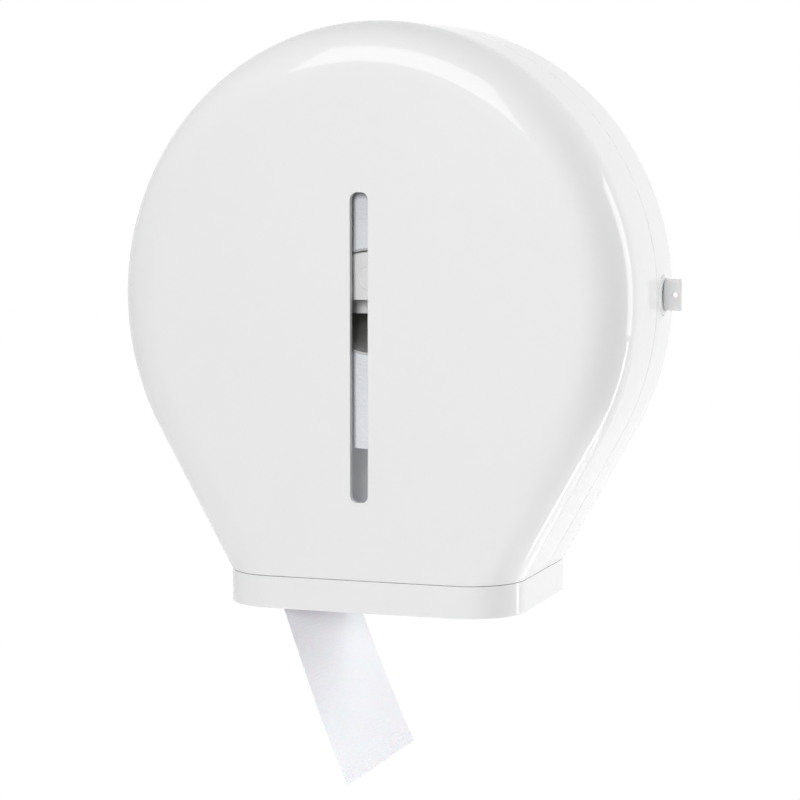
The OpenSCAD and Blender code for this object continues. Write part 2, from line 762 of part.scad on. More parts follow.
module tube_y(outer, inner) {
  forwards(roll_back, roll_front) translate([0, -roll_drop]) difference() {
    circle(outer, $fn = 128);
    circle(inner, $fn = 128);
  }
}

module roll_core() { color("tan") tube_y(core_radius, core_bore / 2); }

module roll_paper() { color("white") tube_y(roll_radius, core_radius + bore_gap); }

// Sideways place of the sheet's front edge at a drop below the centre.
function tail_at(drop) =
  let (over = drop - (tail_bend - bend_half))
  tail_x + tail_run * (over <= 0 ? 0 : over >= 2 * bend_half ? over - bend_half
    : over * over / (4 * bend_half));
function lean(drop) =
  tail_twist * min(1, max(0, (drop - twist_top) / (band_bottom - twist_top)));

module paper_tail() {
  stations = [for (k = [0 : tail_steps]) k / tail_steps];
  function drop(f, end) = tail_start + (end - tail_start) * f;
  points = [for (f = stations)
    let (a = drop(f, tail_end_front), b = drop(f, tail_end_rear))
    each [[tail_at(a), -roll_front, -a], [tail_at(a) - tail_thick, -roll_front, -a],
      [tail_at(b) + lean(b) - tail_thick, -roll_back, -b], [tail_at(b) + lean(b), -roll_back, -b]]];
  sides = [for (k = [0 : tail_steps - 1], i = [0 : 3], half = [0, 1])
    let (a = 4 * k + i, b = 4 * k + (i + 1) % 4)
    half == 0 ? [a, b, b + 4] : [a, b + 4, a + 4]];
  top = [[3, 2, 1, 0]];
  end = [[for (i = [0 : 3]) 4 * tail_steps + i]];
  color("aliceblue") polyhedron(points, concat(sides, top, end));
}

rear_case();
front_cover();
base_band();
base_band_screws();
tear_bar_left();
tear_bar_right();
tear_bar_screws();
spindle();
spindle_cap();
spindle_screws();
spindle_cap_screws();
hinge_pin_upper();
hinge_pin_lower();
lock_guide();
lock_guide_screws();
lock_detent_spring();
lock_tab();
cover_catch();
cover_catch_screws();
roll_core();
roll_paper();
paper_tail();
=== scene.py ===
"""Wall-hung jumbo toilet roll dispenser: fine shapes, finishes, studio and camera.

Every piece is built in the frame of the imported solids, in metres. The wall is the plane
y = 0, the front faces -Y and +Z is up. The origin is the centre of the round shell.
"""

import logging
import math
import random
from collections.abc import Callable, Iterable, Mapping, Sequence
from dataclasses import dataclass
from enum import Enum

import bmesh
import bpy
from mathutils import Matrix, Vector, noise


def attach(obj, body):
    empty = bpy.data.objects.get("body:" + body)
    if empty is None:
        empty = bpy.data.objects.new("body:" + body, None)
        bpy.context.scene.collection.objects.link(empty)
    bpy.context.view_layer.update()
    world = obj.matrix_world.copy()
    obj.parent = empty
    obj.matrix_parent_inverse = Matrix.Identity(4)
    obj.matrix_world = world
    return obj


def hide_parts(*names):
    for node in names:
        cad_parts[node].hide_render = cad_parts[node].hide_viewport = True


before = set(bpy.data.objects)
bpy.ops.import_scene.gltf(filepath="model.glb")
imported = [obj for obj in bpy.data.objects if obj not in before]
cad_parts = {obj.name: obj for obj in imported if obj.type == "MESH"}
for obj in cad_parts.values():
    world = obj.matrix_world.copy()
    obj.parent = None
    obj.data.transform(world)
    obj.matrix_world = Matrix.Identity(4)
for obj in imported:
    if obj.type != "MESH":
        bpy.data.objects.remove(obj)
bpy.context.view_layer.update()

LOG = logging.getLogger("dispenser")
MM = 0.001
SHARP_ANGLE = math.radians(38)
SIDES = (1, -1)

Point2 = tuple[float, float]
Point3 = tuple[float, float, float]
Colour = tuple[float, float, float]
Solid = bpy.types.Object
Socket = bpy.types.NodeSocket
Row = list[bmesh.types.BMVert]


class Body(str, Enum):
    """The moving bodies of the dispenser."""

    CASE = "case"
    COVER = "cover"
    LOCK = "lock"
    ROLL = "roll"


class Slot(str, Enum):
    """The record's material slots."""

    SHELL = "shell_plastic"
    INNER = "inner_plastic"
    TAB = "tab_plastic"
    STEEL = "steel"
    TISSUE = "tissue"
    CARD = "roll_card"


class Join(str, Enum):
    """How a tool solid works on a base solid."""

    ADD = "UNION"
    CUT = "DIFFERENCE"


class Seen(str, Enum):
    """How a lamp acts: as soft light, or as a card that only mirrors in glossy skins."""

    SOFT = "soft light"
    MIRRORED = "mirrored card"


class Surface(str, Enum):
    """The shader groups that the finishes share."""

    MOULDED = "moulded_skin"
    DUST = "paper_dust"
    RUBBED = "rubbed_edges"
    BRUSHED = "brushed_lines"
    CREPED = "creped_tissue"
    WOUND = "wound_edges"
    BOARD = "fibre_board"


# ---- Mesh tools -----------------------------------------------------------------------


def mesh_object(name: str, bm: bmesh.types.BMesh) -> Solid:
    """Turns a bmesh into a linked object, with its faces turned outwards.

    Args:
        name: Name of the new object and of its mesh.
        bm: The bmesh, which is freed.

    Returns:
        The new object.
    """
    bmesh.ops.recalc_face_normals(bm, faces=bm.faces)
    mesh = bpy.data.meshes.new(name)
    bm.to_mesh(mesh)
    bm.free()
    obj = bpy.data.objects.new(name, mesh)
    bpy.context.scene.collection.objects.link(obj)
    return obj


def settle(obj: Solid) -> None:
    """Applies all modifiers of an object to its mesh."""
    graph = bpy.context.evaluated_depsgraph_get()
    mesh = bpy.data.meshes.new_from_object(obj.evaluated_get(graph))
    obj.modifiers.clear()
    obj.data = mesh


def combine(base: Solid, tools: Iterable[Solid], how: Join) -> Solid:
    """Adds tool solids to a base solid, or cuts them out of it, and removes the tools.

    Args:
        base: The closed solid that is changed.
        tools: Closed solids.
        how: Whether the tools are added or cut out.

    Returns:
        The changed base.
    """
    used = list(tools)
    for tool in used:
        modifier = base.modifiers.new(tool.name, "BOOLEAN")
        modifier.operation = how.value
        modifier.solver = "MANIFOLD"
        modifier.object = tool
    settle(base)
    for tool in used:
        bpy.data.objects.remove(tool)
    return base


def round_edges(bm: bmesh.types.BMesh, width: float, steps: int = 2) -> None:
    """Rounds every sharp outward edge of a closed mesh.

    Args:
        bm: The mesh.
        width: Width of the rounding, in metres.
        steps: Segments across it.
    """
    bmesh.ops.recalc_face_normals(bm, faces=bm.faces)
    sharp = [
        edge
        for edge in bm.edges
        if len(edge.link_faces) == 2
        and edge.is_convex
        and edge.calc_face_angle(0) > SHARP_ANGLE
    ]
    bmesh.ops.bevel(
        bm,
        geom=sharp,
        offset=width,
        segments=steps,
        profile=0.5,
        affect="EDGES",
        clamp_overlap=False,
    )


def skin(bm: bmesh.types.BMesh, first: Row, second: Row, closed: bool = False) -> None:
    """Lays four-sided faces between two rows of as many points.

    Args:
        bm: The mesh that holds the rows.
        first: One row.
        second: The other row.
        closed: Whether each row runs round to its first point.
    """
    if closed:
        first, second = [*first, first[0]], [*second, second[0]]
    for corners in zip(first, first[1:], second[1:], second):
        bm.faces.new(corners)


def prism(name: str, plan: Sequence[Point2], top: float, foot: float) -> Solid:
    """Makes a plate from its plan.

    Args:
        name: Name of the object.
        plan: Points (x, y) round it.
        top: Height of its top.
        foot: Height of its underside.

    Returns:
        The plate.
    """
    bm = bmesh.new()
    loops = [[bm.verts.new((x, y, z)) for x, y in plan] for z in (top, foot)]
    bm.faces.new(loops[0])
    bm.faces.new(list(reversed(loops[1])))
    skin(bm, *loops, closed=True)
    bmesh.ops.remove_doubles(bm, verts=bm.verts, dist=0.001 * MM)
    return mesh_object(name, bm)


def block(name: str, low: Point3, high: Point3, round_by: float = 0.0) -> Solid:
    """Makes a box between two corners.

    Args:
        name: Name of the object.
        low: Lowest corner.
        high: Highest corner.
        round_by: Width of the rounding of its edges.

    Returns:
        The box.
    """
    bm = bmesh.new()
    bmesh.ops.create_cube(bm, size=1)
    for vert in bm.verts:
        vert.co = Vector([l + (h - l) * (c + 0.5) for l, h, c in zip(low, high, vert.co)])
    if round_by > 0:
        round_edges(bm, round_by)
    return mesh_object(name, bm)


def spin(name: str, profile: Sequence[Point2], place: Matrix, sides: int = 64) -> Solid:
    """Turns a profile of (radius, height) points round the local Z axis.

    Args:
        name: Name of the object.
        profile: Points of the closed section; a radius of 0 is a point on the axis.
        place: Where the local frame goes.
        sides: Steps round the axis.

    Returns:
        The solid of revolution. A profile that misses the axis makes a ring.
    """
    bm = bmesh.new()
    turns = [math.tau * k / sides for k in range(sides)]
    rings = []
    for radius, height in profile:
        angles = turns if radius >= 1e-9 else [0.0]
        points = [(radius * math.cos(a), radius * math.sin(a), height) for a in angles]
        rings.append([bm.verts.new(place @ Vector(point)) for point in points])
    pairs = list(zip(rings, rings[1:]))
    if len(rings[0]) > 1 and len(rings[-1]) > 1:
        pairs.append((rings[-1], rings[0]))
    for first, second in pairs:
        for k in range(sides):
            n = (k + 1) % sides
            corners = [ring[at % len(ring)] for ring, at in ((first, k), (first, n))]
            corners += [ring[at % len(ring)] for ring, at in ((second, n), (second, k))]
            unique = list(dict.fromkeys(corners))
            if len(unique) > 2:
                bm.faces.new(unique)
    return mesh_object(name, bm)


def facing(direction: Point3, at: Point3) -> Matrix:
    """Gives the frame at a point whose Z axis runs along a direction."""
    turn = Vector(direction).to_track_quat("Z", "Y").to_matrix().to_4x4()
    return Matrix.Translation(at) @ turn


def rod(name: str, radius: float, place: Matrix, length: float, round_by: float = 0.0) -> Solid:
    """Makes a cylinder along the Z axis of a frame, from its origin.

    Args:
        name: Name of the object.
        radius: Radius.
        place: The frame.
        length: Length.
        round_by: Size of the chamfer at its two rims.

    Returns:
        The cylinder.
    """
    b = min(round_by, radius * 0.4)
    rim = [(radius, 0.0)]
    if b > 0:
        rim = [(radius - b, 0.0), (radius - 0.3 * b, 0.3 * b), (radius, b)]
    end = [(r, length - h) for r, h in reversed(rim)]
    return spin(name, [(0, 0), *rim, *end, (0, length)], place)


def bore_y(x: float, z: float, radius: float, back: float, front: float) -> Solid:
    """Makes a cylinder along -Y between two depths from the wall."""
    return rod("bore", radius, facing((0, -1, 0), (x, -back, z)), front - back)


def smooth(obj: Solid) -> None:
    """Shades a piece smoothly, but keeps its sharp edges and its flat faces flat."""
    obj.data.shade_smooth()
    obj.data.set_sharp_from_angle(angle=SHARP_ANGLE)
    flat = obj.modifiers.new("flat_faces", "WEIGHTED_NORMAL")
    flat.keep_sharp = True
    flat.weight = 80


def join(name: str, parts: Sequence[Solid]) -> Solid:
    """Joins several solids, which are removed, into one object."""
    bm = bmesh.new()
    for part in parts:
        bm.from_mesh(part.data)
    for part in parts:
        bpy.data.objects.remove(part)
    return mesh_object(name, bm)


def hang(
    obj: Solid, body: Body, finish: bpy.types.Material, stands_for: str
) -> Solid:
    """Smooths and dresses a piece, hangs it on its body and hides the solid it stands for.

    Args:
        obj: The piece.
        body: The body that it moves with.
        finish: Its material.
        stands_for: Name of the solid that it replaces.

    Returns:
        The piece.
    """
    smooth(obj)
    obj.data.materials.clear()
    obj.data.materials.append(finish)
    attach(obj, body.value)
    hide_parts(stands_for)
    LOG.info("%s rides on %s: %d faces", obj.name, body.value, len(obj.data.polygons))
    return obj


# ---- Finishes -------------------------------------------------------------------------


class NodeSheet:
    """A node tree with short ways to add and join nodes."""

    def __init__(self, tree: bpy.types.NodeTree) -> None:
        """Starts on a tree, which is emptied."""
        self.tree = tree
        tree.nodes.clear()

    def add(
        self, kind: str, values: Mapping[str | int, object] | None = None, **settings: object
    ) -> bpy.types.Node:
        """Adds a node.

        Args:
            kind: Node type without the ShaderNode prefix, or a full type name.
            values: Input values by socket name or number; a socket is linked.
            **settings: Attributes of the node.

        Returns:
            The node.
        """
        full = kind if kind.startswith("NodeGroup") else "ShaderNode" + kind
        node = self.tree.nodes.new(full)
        for key, value in settings.items():
            setattr(node, key, value)
        for key, value in (values or {}).items():
            if isinstance(value, Socket):
                self.tree.links.new(value, node.inputs[key])
            else:
                node.inputs[key].default_value = value
        return node

    def here(self) -> Socket:
        """Gives the place on the piece."""
        return self.add("TexCoord").outputs["Object"]

    def maths(self, operation: str, *terms: object) -> Socket:
        """Adds a Math node and returns its result."""
        return self.add("Math", dict(enumerate(terms)), operation=operation).outputs[0]

    def vectors(self, operation: str, *terms: object) -> Socket:
        """Adds a Vector Math node and returns its result."""
        node = self.add("VectorMath", dict(enumerate(terms)), operation=operation)
        return node.outputs["Value" if operation == "LENGTH" else "Vector"]

    def clouds(
        self, where: Socket, scale: object, detail: float = 2.0, rough: float = 0.5
    ) -> Socket:
        """Adds a noise texture and returns its value."""
        values = {"Vector": where, "Scale": scale, "Detail": detail, "Roughness": rough}
        return self.add("TexNoise", values).outputs[0]

    def window(self, value: Socket, low: float, high: float) -> Socket:
        """Maps a value from a range to 0-1 and returns the result."""
        values = {"Value": value, "From Min": low, "From Max": high}
        return self.add("MapRange", values).outputs["Result"]

    def spread(self, value: Socket, low: object, high: object) -> Socket:
        """Maps a value from 0-1 to a range and returns the result."""
        return self.add("MapRange", {"Value": value, "To Min": low, "To Max": high}).outputs[0]

    def tint(self, factor: object, first: object, second: object) -> Socket:
        """Mixes two colours and returns the result."""
        return self.add("Mix", {0: factor, 6: first, 7: second}, data_type="RGBA").outputs[2]

    def background_rays(self) -> Socket:
        """Gives 1 on rays that see the studio itself, also mirrored or through glass."""
        seen = self.add("LightPath").outputs
        shiny = self.maths("MAXIMUM", seen["Is Glossy Ray"], seen["Is Transmission Ray"])
        return self.maths("MAXIMUM", seen["Is Camera Ray"], shiny)


Given = Mapping[str, Socket]
Made = dict[str, Socket]


def moulded(sheet: NodeSheet, given: Given) -> Made:
    """Draws the skin of a moulding: faint ripple, fine grain, drifting gloss and tone.

    Args:
        sheet: The group's sheet.
        given: Its inputs.

    Returns:
        Its outputs.
    """
    where = sheet.here()
    drift = sheet.clouds(where, 14.0, 3.0, 0.55)
    smear = sheet.clouds(where, 70.0, 4.0, 0.6)
    grain = sheet.clouds(where, given["Grain Scale"])
    ripple = sheet.clouds(where, 55.0, 1.0)
    return {
        "Color": sheet.tint(drift, given["Color"], given["Shade"]),
        "Roughness": sheet.spread(smear, given["Gloss Low"], given["Gloss High"]),
        "Height": sheet.maths("ADD", sheet.maths("MULTIPLY", grain, given["Grain"]), ripple),
    }


def dust(sheet: NodeSheet, given: Given) -> Made:
    """Draws the film of paper dust that settles on what faces up.

    Args:
        sheet: The group's sheet.
        given: Its inputs.

    Returns:
        Its outputs.
    """
    coords = sheet.add("TexCoord").outputs
    upward = sheet.add("SeparateXYZ", {0: coords["Normal"]}).outputs["Z"]
    clouds = sheet.clouds(coords["Object"], 160.0, 6.0)
    patch = sheet.maths("MULTIPLY", sheet.window(clouds, 0.4, 0.75), given["Amount"])
    mask = sheet.maths("MULTIPLY", sheet.window(upward, 0.35, 0.95), patch)
    return {"Color": sheet.tint(mask, given["Color"], given["Dust"]), "Mask": mask}


def rubbed(sheet: NodeSheet, given: Given) -> Made:
    """Draws the wear of edges that hands and paper rub.

    Args:
        sheet: The group's sheet.
        given: Its inputs.

    Returns:
        Its outputs.
    """
    rise = sheet.window(sheet.add("NewGeometry").outputs["Pointiness"], 0.52, 0.6)
    breaks = sheet.clouds(sheet.here(), 300.0, 5.0)
    return {
        "Mask": sheet.maths("MULTIPLY", rise, sheet.maths("MULTIPLY", breaks, given["Amount"]))
    }


def brushed(sheet: NodeSheet, given: Given) -> Made:
    """Draws the fine lines of rolled or brushed metal.

    Args:
        sheet: The group's sheet.
        given: Its inputs.

    Returns:
        Its outputs.
    """
    lines = sheet.vectors("MULTIPLY", sheet.here(), given["Stretch"])
    wave = sheet.clouds(lines, 1.0, 4.0, 0.65)
    gloss = sheet.spread(wave, given["Gloss Low"], given["Gloss High"])
    return {"Roughness": gloss, "Height": wave}


def creped(sheet: NodeSheet, given: Given) -> Made:
    """Draws creped and embossed tissue.

    Args:
        sheet: The group's sheet.
        given: Its inputs.

    Returns:
        Its outputs.
    """
    where = sheet.here()
    crepe = sheet.clouds(sheet.vectors("MULTIPLY", where, given["Crepe"]), 1.0, 3.0, 0.6)
    dots = sheet.add(
        "TexVoronoi", {"Vector": where, "Scale": given["Emboss Scale"], "Randomness": 0.25}
    )
    fibres = sheet.clouds(where, 2200.0, 5.0, 0.7)
    pits = sheet.window(dots.outputs["Distance"], 0.0, 0.5)
    height = sheet.maths("ADD", sheet.maths("MULTIPLY", crepe, 0.8), pits)
    return {
        "Color": sheet.tint(crepe, given["Color"], given["Shade"]),
        "Height": sheet.maths("ADD", height, sheet.maths("MULTIPLY", fibres, 0.5)),
    }


def wound(sheet: NodeSheet, given: Given) -> Made:
    """Draws the end of a wound roll: cut edges in fine rings, with fluff and painted gap shade
    between them.

    Args:
        sheet: The group's sheet.
        given: Its inputs.

    Returns:
        Its outputs.
    """
    where = sheet.here()
    from_axis = sheet.vectors("SUBTRACT", where, given["Axis"])
    radius = sheet.vectors("LENGTH", sheet.vectors("MULTIPLY", from_axis, (1.0, 0.0, 1.0)))
    wander = sheet.clouds(where, 90.0, 3.0)
    turns = sheet.maths("ADD", sheet.maths("MULTIPLY", radius, given["Ply Pitch"]), wander)
    rings = sheet.add(
        "TexNoise", {"W": turns, "Scale": 1.0, "Detail": 2.0}, noise_dimensions="1D"
    ).outputs[0]
    fluff = sheet.clouds(where, 1300.0, 5.0, 0.75)
    # Where the rings dip, the colour falls to the darker gap colour: painted shade in the grooves
    # between the plies.
    depth = sheet.maths("MULTIPLY", rings, sheet.window(fluff, 0.42, 0.68))
    return {
        "Color": sheet.tint(sheet.window(depth, 0.05, 0.5), given["Gap"], given["Color"]),
        "Height": sheet.maths("ADD", rings, fluff),
    }


def board(sheet: NodeSheet, given: Given) -> Made:
    """Draws grey board with flecks.

    Args:
        sheet: The group's sheet.
        given: Its inputs.

    Returns:
        Its outputs.
    """
    where = sheet.here()
    fibres = sheet.clouds(where, 700.0, 6.0, 0.7)
    flecks = sheet.add("TexVoronoi", {"Vector": where, "Scale": 900.0})
    spot = sheet.window(flecks.outputs["Distance"], 0.15, 0.05)
    amount = sheet.maths("MAXIMUM", spot, sheet.maths("MULTIPLY", fibres, 0.5))
    return {"Color": sheet.tint(amount, given["Color"], given["Fleck"]), "Height": fibres}


PALE = (0.8, 0.8, 0.8, 1)
RECIPES: dict[Surface, tuple[Callable[[NodeSheet, Given], Made], dict[str, object]]] = {
    Surface.MOULDED: (
        moulded,
        {
            "Color": PALE,
            "Shade": PALE,
            "Grain Scale": 900.0,
            "Grain": 0.3,
            "Gloss Low": 0.15,
            "Gloss High": 0.2,
        },
    ),
    Surface.DUST: (dust, {"Color": PALE, "Dust": (0.72, 0.71, 0.69, 1), "Amount": 0.3}),
    Surface.RUBBED: (rubbed, {"Amount": 0.5}),
    Surface.BRUSHED: (
        brushed,
        {"Stretch": (1500.0, 1500.0, 60.0), "Gloss Low": 0.2, "Gloss High": 0.4},
    ),
    Surface.CREPED: (
        creped,
        {"Color": PALE, "Shade": PALE, "Emboss Scale": 420.0, "Crepe": (300.0, 900.0, 2600.0)},
    ),
    Surface.WOUND: (
        wound,
        # The ply gap colour is painted shade in the grooves between the plies.
        {"Color": PALE, "Gap": PALE, "Axis": (0.0, 0.0, 0.0), "Ply Pitch": 900.0},
    ),
    Surface.BOARD: (board, {"Color": PALE, "Fleck": PALE}),
}


class SurfaceGroups:
    """The shader node groups that the finishes share, each built once."""

    def __init__(self) -> None:
        """Starts with no group built."""
        self.built: dict[Surface, bpy.types.NodeTree] = {}

    def build(self, surface: Surface) -> bpy.types.NodeTree:
        """Builds a group with its named sockets.

        Args:
            surface: Which group.

        Returns:
            Its node tree.
        """
        draw, inputs = RECIPES[surface]
        tree = bpy.data.node_groups.new(surface.value, "ShaderNodeTree")
        sheet = NodeSheet(tree)
        for key, value in inputs.items():
            kind = "Float" if isinstance(value, float) else {3: "Vector", 4: "Color"}[len(value)]
            socket = tree.interface.new_socket(
                name=key, in_out="INPUT", socket_type="NodeSocket" + kind
            )
            socket.default_value = value
        made = draw(sheet, sheet.add("NodeGroupInput").outputs)
        for key in made:
            kind = "Color" if key == "Color" else "Float"
            tree.interface.new_socket(
                name=key, in_out="OUTPUT", socket_type="NodeSocket" + kind
            )
        sheet.add("NodeGroupOutput", made)
        return tree

    def place(
        self, sheet: NodeSheet, surface: Surface, values: Mapping[str, object]
    ) -> bpy.types.Node:
        """Places a group in a material, and builds it the first time.

        Args:
            sheet: The material's sheet.
            surface: Which group.
            values: Its input values in this material.

        Returns:
            The group's node.
        """
        if surface not in self.built:
            self.built[surface] = self.build(surface)
        return sheet.add("Group", values, node_tree=self.built[surface])


def opaque(colour: Colour) -> tuple[float, float, float, float]:
    """Adds a full alpha to a colour."""
    return (*colour, 1.0)


def new_material(name: str, colour: Colour) -> tuple[NodeSheet, bpy.types.Material]:
    """Makes an empty node material, with the colour that it has in plain views."""
    material = bpy.data.materials.new(name)
    material.use_nodes = True
    material.diffuse_color = opaque(colour)
    return NodeSheet(material.node_tree), material


@dataclass(frozen=True)
class Finish:
    """A finish: one shared surface with its own values, bump depth and constants."""

    name: str
    surface: Surface
    colour: Colour
    depth: float
    values: dict[str, object]
    constants: dict[str, object]
    dust: float = 0.0
    wear: float = 0.0

    def material(self, groups: SurfaceGroups) -> bpy.types.Material:
        """Builds the finish.

        Args:
            groups: The shared surface groups.

        Returns:
            The material.
        """
        sheet, material = new_material(self.name, self.colour)
        drawn = groups.place(sheet, self.surface, self.values).outputs
        colour = drawn.get("Color", opaque(self.colour))
        roughness = drawn.get("Roughness", self.constants.get("Roughness"))
        if self.dust > 0:
            film = groups.place(sheet, Surface.DUST, {"Color": colour, "Amount": self.dust})
            colour = film.outputs["Color"]
            roughness = sheet.maths("ADD", roughness, film.outputs["Mask"])
        if self.wear > 0:
            rub = groups.place(sheet, Surface.RUBBED, {"Amount": self.wear})
            roughness = sheet.maths("ADD", roughness, rub.outputs["Mask"])
        bump = sheet.add(
            "Bump", {"Strength": 1.0, "Distance": self.depth, "Height": drawn["Height"]}
        )
        feeds = {"Base Color": colour, "Roughness": roughness, "Normal": bump.outputs[0]}
        shader = sheet.add("BsdfPrincipled", {**self.constants, **feeds})
        sheet.add("OutputMaterial", {"Surface": shader.outputs[0]})
        return material


def plastic(
    name: str,
    colours: tuple[Colour, Colour],
    gloss: Point2,
    grain: Point2,
    ripple: float,
    soft_light: float = 0.0,
    dust: float = 0.0,
    wear: float = 0.0,
) -> Finish:
    """Gives the finish of an injection-moulded part.

    Args:
        name: Name of the finish.
        colours: Its colour and the shade that it drifts to.
        gloss: Lowest and highest roughness.
        grain: Scale and strength of the grain.
        ripple: Depth of grain and ripple.
        soft_light: How far light soaks into it, from 0 to 1.
        dust: Share of the dust film.
        wear: Share of the edge wear.

    Returns:
        The finish.
    """
    constants: dict[str, object] = {"IOR": 1.5}
    if soft_light > 0:
        constants |= {"Subsurface Weight": soft_light, "Subsurface Scale": 1.5 * MM}
    values = {
        "Color": opaque(colours[0]),
        "Shade": opaque(colours[1]),
        "Grain Scale": grain[0],
        "Grain": grain[1],
        "Gloss Low": gloss[0],
        "Gloss High": gloss[1],
    }
    return Finish(name, Surface.MOULDED, colours[0], ripple, values, constants, dust, wear)


def steel(name: str, colour: Colour, gloss: Point2, stretch: Point3) -> Finish:
    """Gives the finish of a steel part.

    Args:
        name: Name of the finish.
        colour: Its colour.
        gloss: Lowest and highest roughness.
        stretch: Scale of the rolled lines along X, Y and Z.

    Returns:
        The finish.
    """
    values = {"Stretch": stretch, "Gloss Low": gloss[0], "Gloss High": gloss[1]}
    depth = 0.004 * MM
    return Finish(name, Surface.BRUSHED, colour, depth, values, {"Metallic": 1.0}, wear=0.5)


def fibrous(
    name: str,
    surface: Surface,
    colour: Colour,
    depth: float,
    values: Mapping[str, object],
    constants: Mapping[str, object],
) -> Finish:
    """Gives the finish of a piece of paper or board.

    Args:
        name: Name of the finish.
        surface: Its shared surface.
        colour: Its colour.
        depth: Depth of its bump.
        values: The other values of the surface.
        constants: The shader's own constants.

    Returns:
        The finish.
    """
    values = {"Color": opaque(colour), **values}
    return Finish(name, surface, colour, depth, values, dict(constants))


class Finishes:
    """All finishes of the dispenser."""

    def __init__(self) -> None:
        """Builds each finish."""
        groups = SurfaceGroups()
        self.shell = plastic(
            "glossy_white_moulding",
            colours=((0.79, 0.79, 0.793), (0.775, 0.776, 0.78)),
            gloss=(0.022, 0.034),
            grain=(1500.0, 0.04),
            ripple=0.0025 * MM,
            dust=0.04,
        ).material(groups)
        self.inner = plastic(
            "satin_inner_moulding",
            colours=((0.81, 0.81, 0.812), (0.79, 0.79, 0.794)),
            gloss=(0.34, 0.46),
            grain=(1800.0, 0.9),
            ripple=0.012 * MM,
            dust=0.25,
            wear=0.2,
        ).material(groups)
        self.tab = plastic(
            "grey_tab_moulding",
            colours=((0.66, 0.66, 0.665), (0.6, 0.6, 0.61)),
            gloss=(0.24, 0.34),
            grain=(1400.0, 0.6),
            ripple=0.01 * MM,
            soft_light=0.25,
            wear=0.25,
        ).material(groups)
        rolled, plated = (2600.0, 90.0, 2600.0), (900.0, 900.0, 900.0)
        self.stainless = steel(
            "rolled_stainless", (0.62, 0.62, 0.63), (0.2, 0.4), rolled
        ).material(groups)
        self.zinc = steel(
            "bright_zinc", (0.64, 0.65, 0.68), (0.22, 0.38), plated
        ).material(groups)
        self.tissue = fibrous(
            "two_ply_tissue",
            Surface.CREPED,
            (0.772, 0.797, 0.835),
            0.12 * MM,
            {"Shade": opaque((0.748, 0.773, 0.811)), "Emboss Scale": 430.0},
            {
                "Roughness": 0.9,
                "Specular IOR Level": 0.2,
                "Sheen Weight": 0.15,
                "Subsurface Weight": 0.25,
                "Subsurface Scale": 1.0 * MM,
            },
        ).material(groups)
        self.roll_end = fibrous(
            "cut_edges_of_roll",
            Surface.WOUND,
            (0.86, 0.88, 0.91),
            0.06 * MM,
            # The darker ply gap colour is painted shade between the plies, not a colour of the
            # paper.
            {"Gap": opaque((0.76, 0.78, 0.82)), "Axis": (0.0, 0.0, -1.0 * MM)},
            {"Roughness": 0.95, "Specular IOR Level": 0.15},
        ).material(groups)
        self.board = fibrous(
            "grey_board_tube",
            Surface.BOARD,
            (0.62, 0.617, 0.607),
            0.05 * MM,
            {"Fleck": opaque((0.47, 0.465, 0.452))},
            {"Roughness": 0.92},
        ).material(groups)


# ---- Shell form -----------------------------------------------------------------------


@dataclass(frozen=True)
class ShellOutline:
    """Front outline of the shell: an elliptic arc with straight tapered flanks below."""

    half_width: float = 155.2 * MM
    half_height: float = 160 * MM
    taper: float = math.radians(29.25)
    foot_drop: float = 160.4 * MM
    arc_steps: int = 144
    flank_steps: int = 12

    @property
    def tangent(self) -> float:
        """Angle on the ellipse below which the flanks are straight."""
        return math.atan(math.tan(self.taper) * self.half_height / self.half_width)

    def arc_point(self, angle: float, inset: float) -> Point2:
        """Gives a point of the arc, moved inwards along its normal."""
        c, s = math.cos(angle), math.sin(angle)
        normal = Vector((self.half_height * c, self.half_width * s)).normalized()
        return (self.half_width * c - inset * normal.x, self.half_height * s - inset * normal.y)

    def flank_x(self, z: float) -> float:
        """Gives the half width of the flanks at a height."""
        start = self.half_width * math.cos(self.tangent)
        return start + (z + self.half_height * math.sin(self.tangent)) * math.tan(self.taper)

    def ring(self, inset: float) -> list[Point2]:
        """Gives the outline from the right foot over the top to the left foot.

        Args:
            inset: Distance inwards from the outside of the shell.

        Returns:
            Points (x, z), the same number for each inset.
        """
        foot = (self.flank_x(-self.foot_drop) - inset / math.cos(self.taper), -self.foot_drop)
        joint = self.arc_point(-self.tangent, inset)
        shares = [k / self.flank_steps for k in range(self.flank_steps)]
        right = [tuple(f + (j - f) * share for f, j in zip(foot, joint)) for share in shares]
        sweep = (math.pi + 2 * self.tangent) / self.arc_steps
        angles = [-self.tangent + sweep * k for k in range(self.arc_steps + 1)]
        left = [(-x, z) for x, z in reversed(right)]
        return [*right, *[self.arc_point(angle, inset) for angle in angles], *left]


def bar_loop(half: float, top: float, foot: float, corner: float) -> list[Point2]:
    """Gives the outline of an upright bar with round corners.

    Args:
        half: Half width.
        top: Height of its top.
        foot: Height of its foot.
        corner: Corner radius.

    Returns:
        Points (x, z), turning one way round.
    """
    steps = 8
    right, high, low = half - corner, top - corner, foot + corner
    loop = []
    for quarter, (x, z) in enumerate([(right, high), (-right, high), (-right, low), (right, low)]):
        for k in range(steps + 1):
            angle = math.pi / 2 * (quarter + k / steps)
            loop.append((x + corner * math.cos(angle), z + corner * math.sin(angle)))
    return loop


@dataclass(frozen=True)
class TrayHole:
    """A round-cornered hole through the plate of a tray, with a return wall behind it."""

    half: float
    top: float
    foot: float
    corner: float
    wall: float
    reach: float

    def loop(self, grow: float) -> list[Point2]:
        """Gives the hole's outline, grown outwards."""
        return bar_loop(self.half + grow, self.top + grow, self.foot - grow, self.corner + grow)


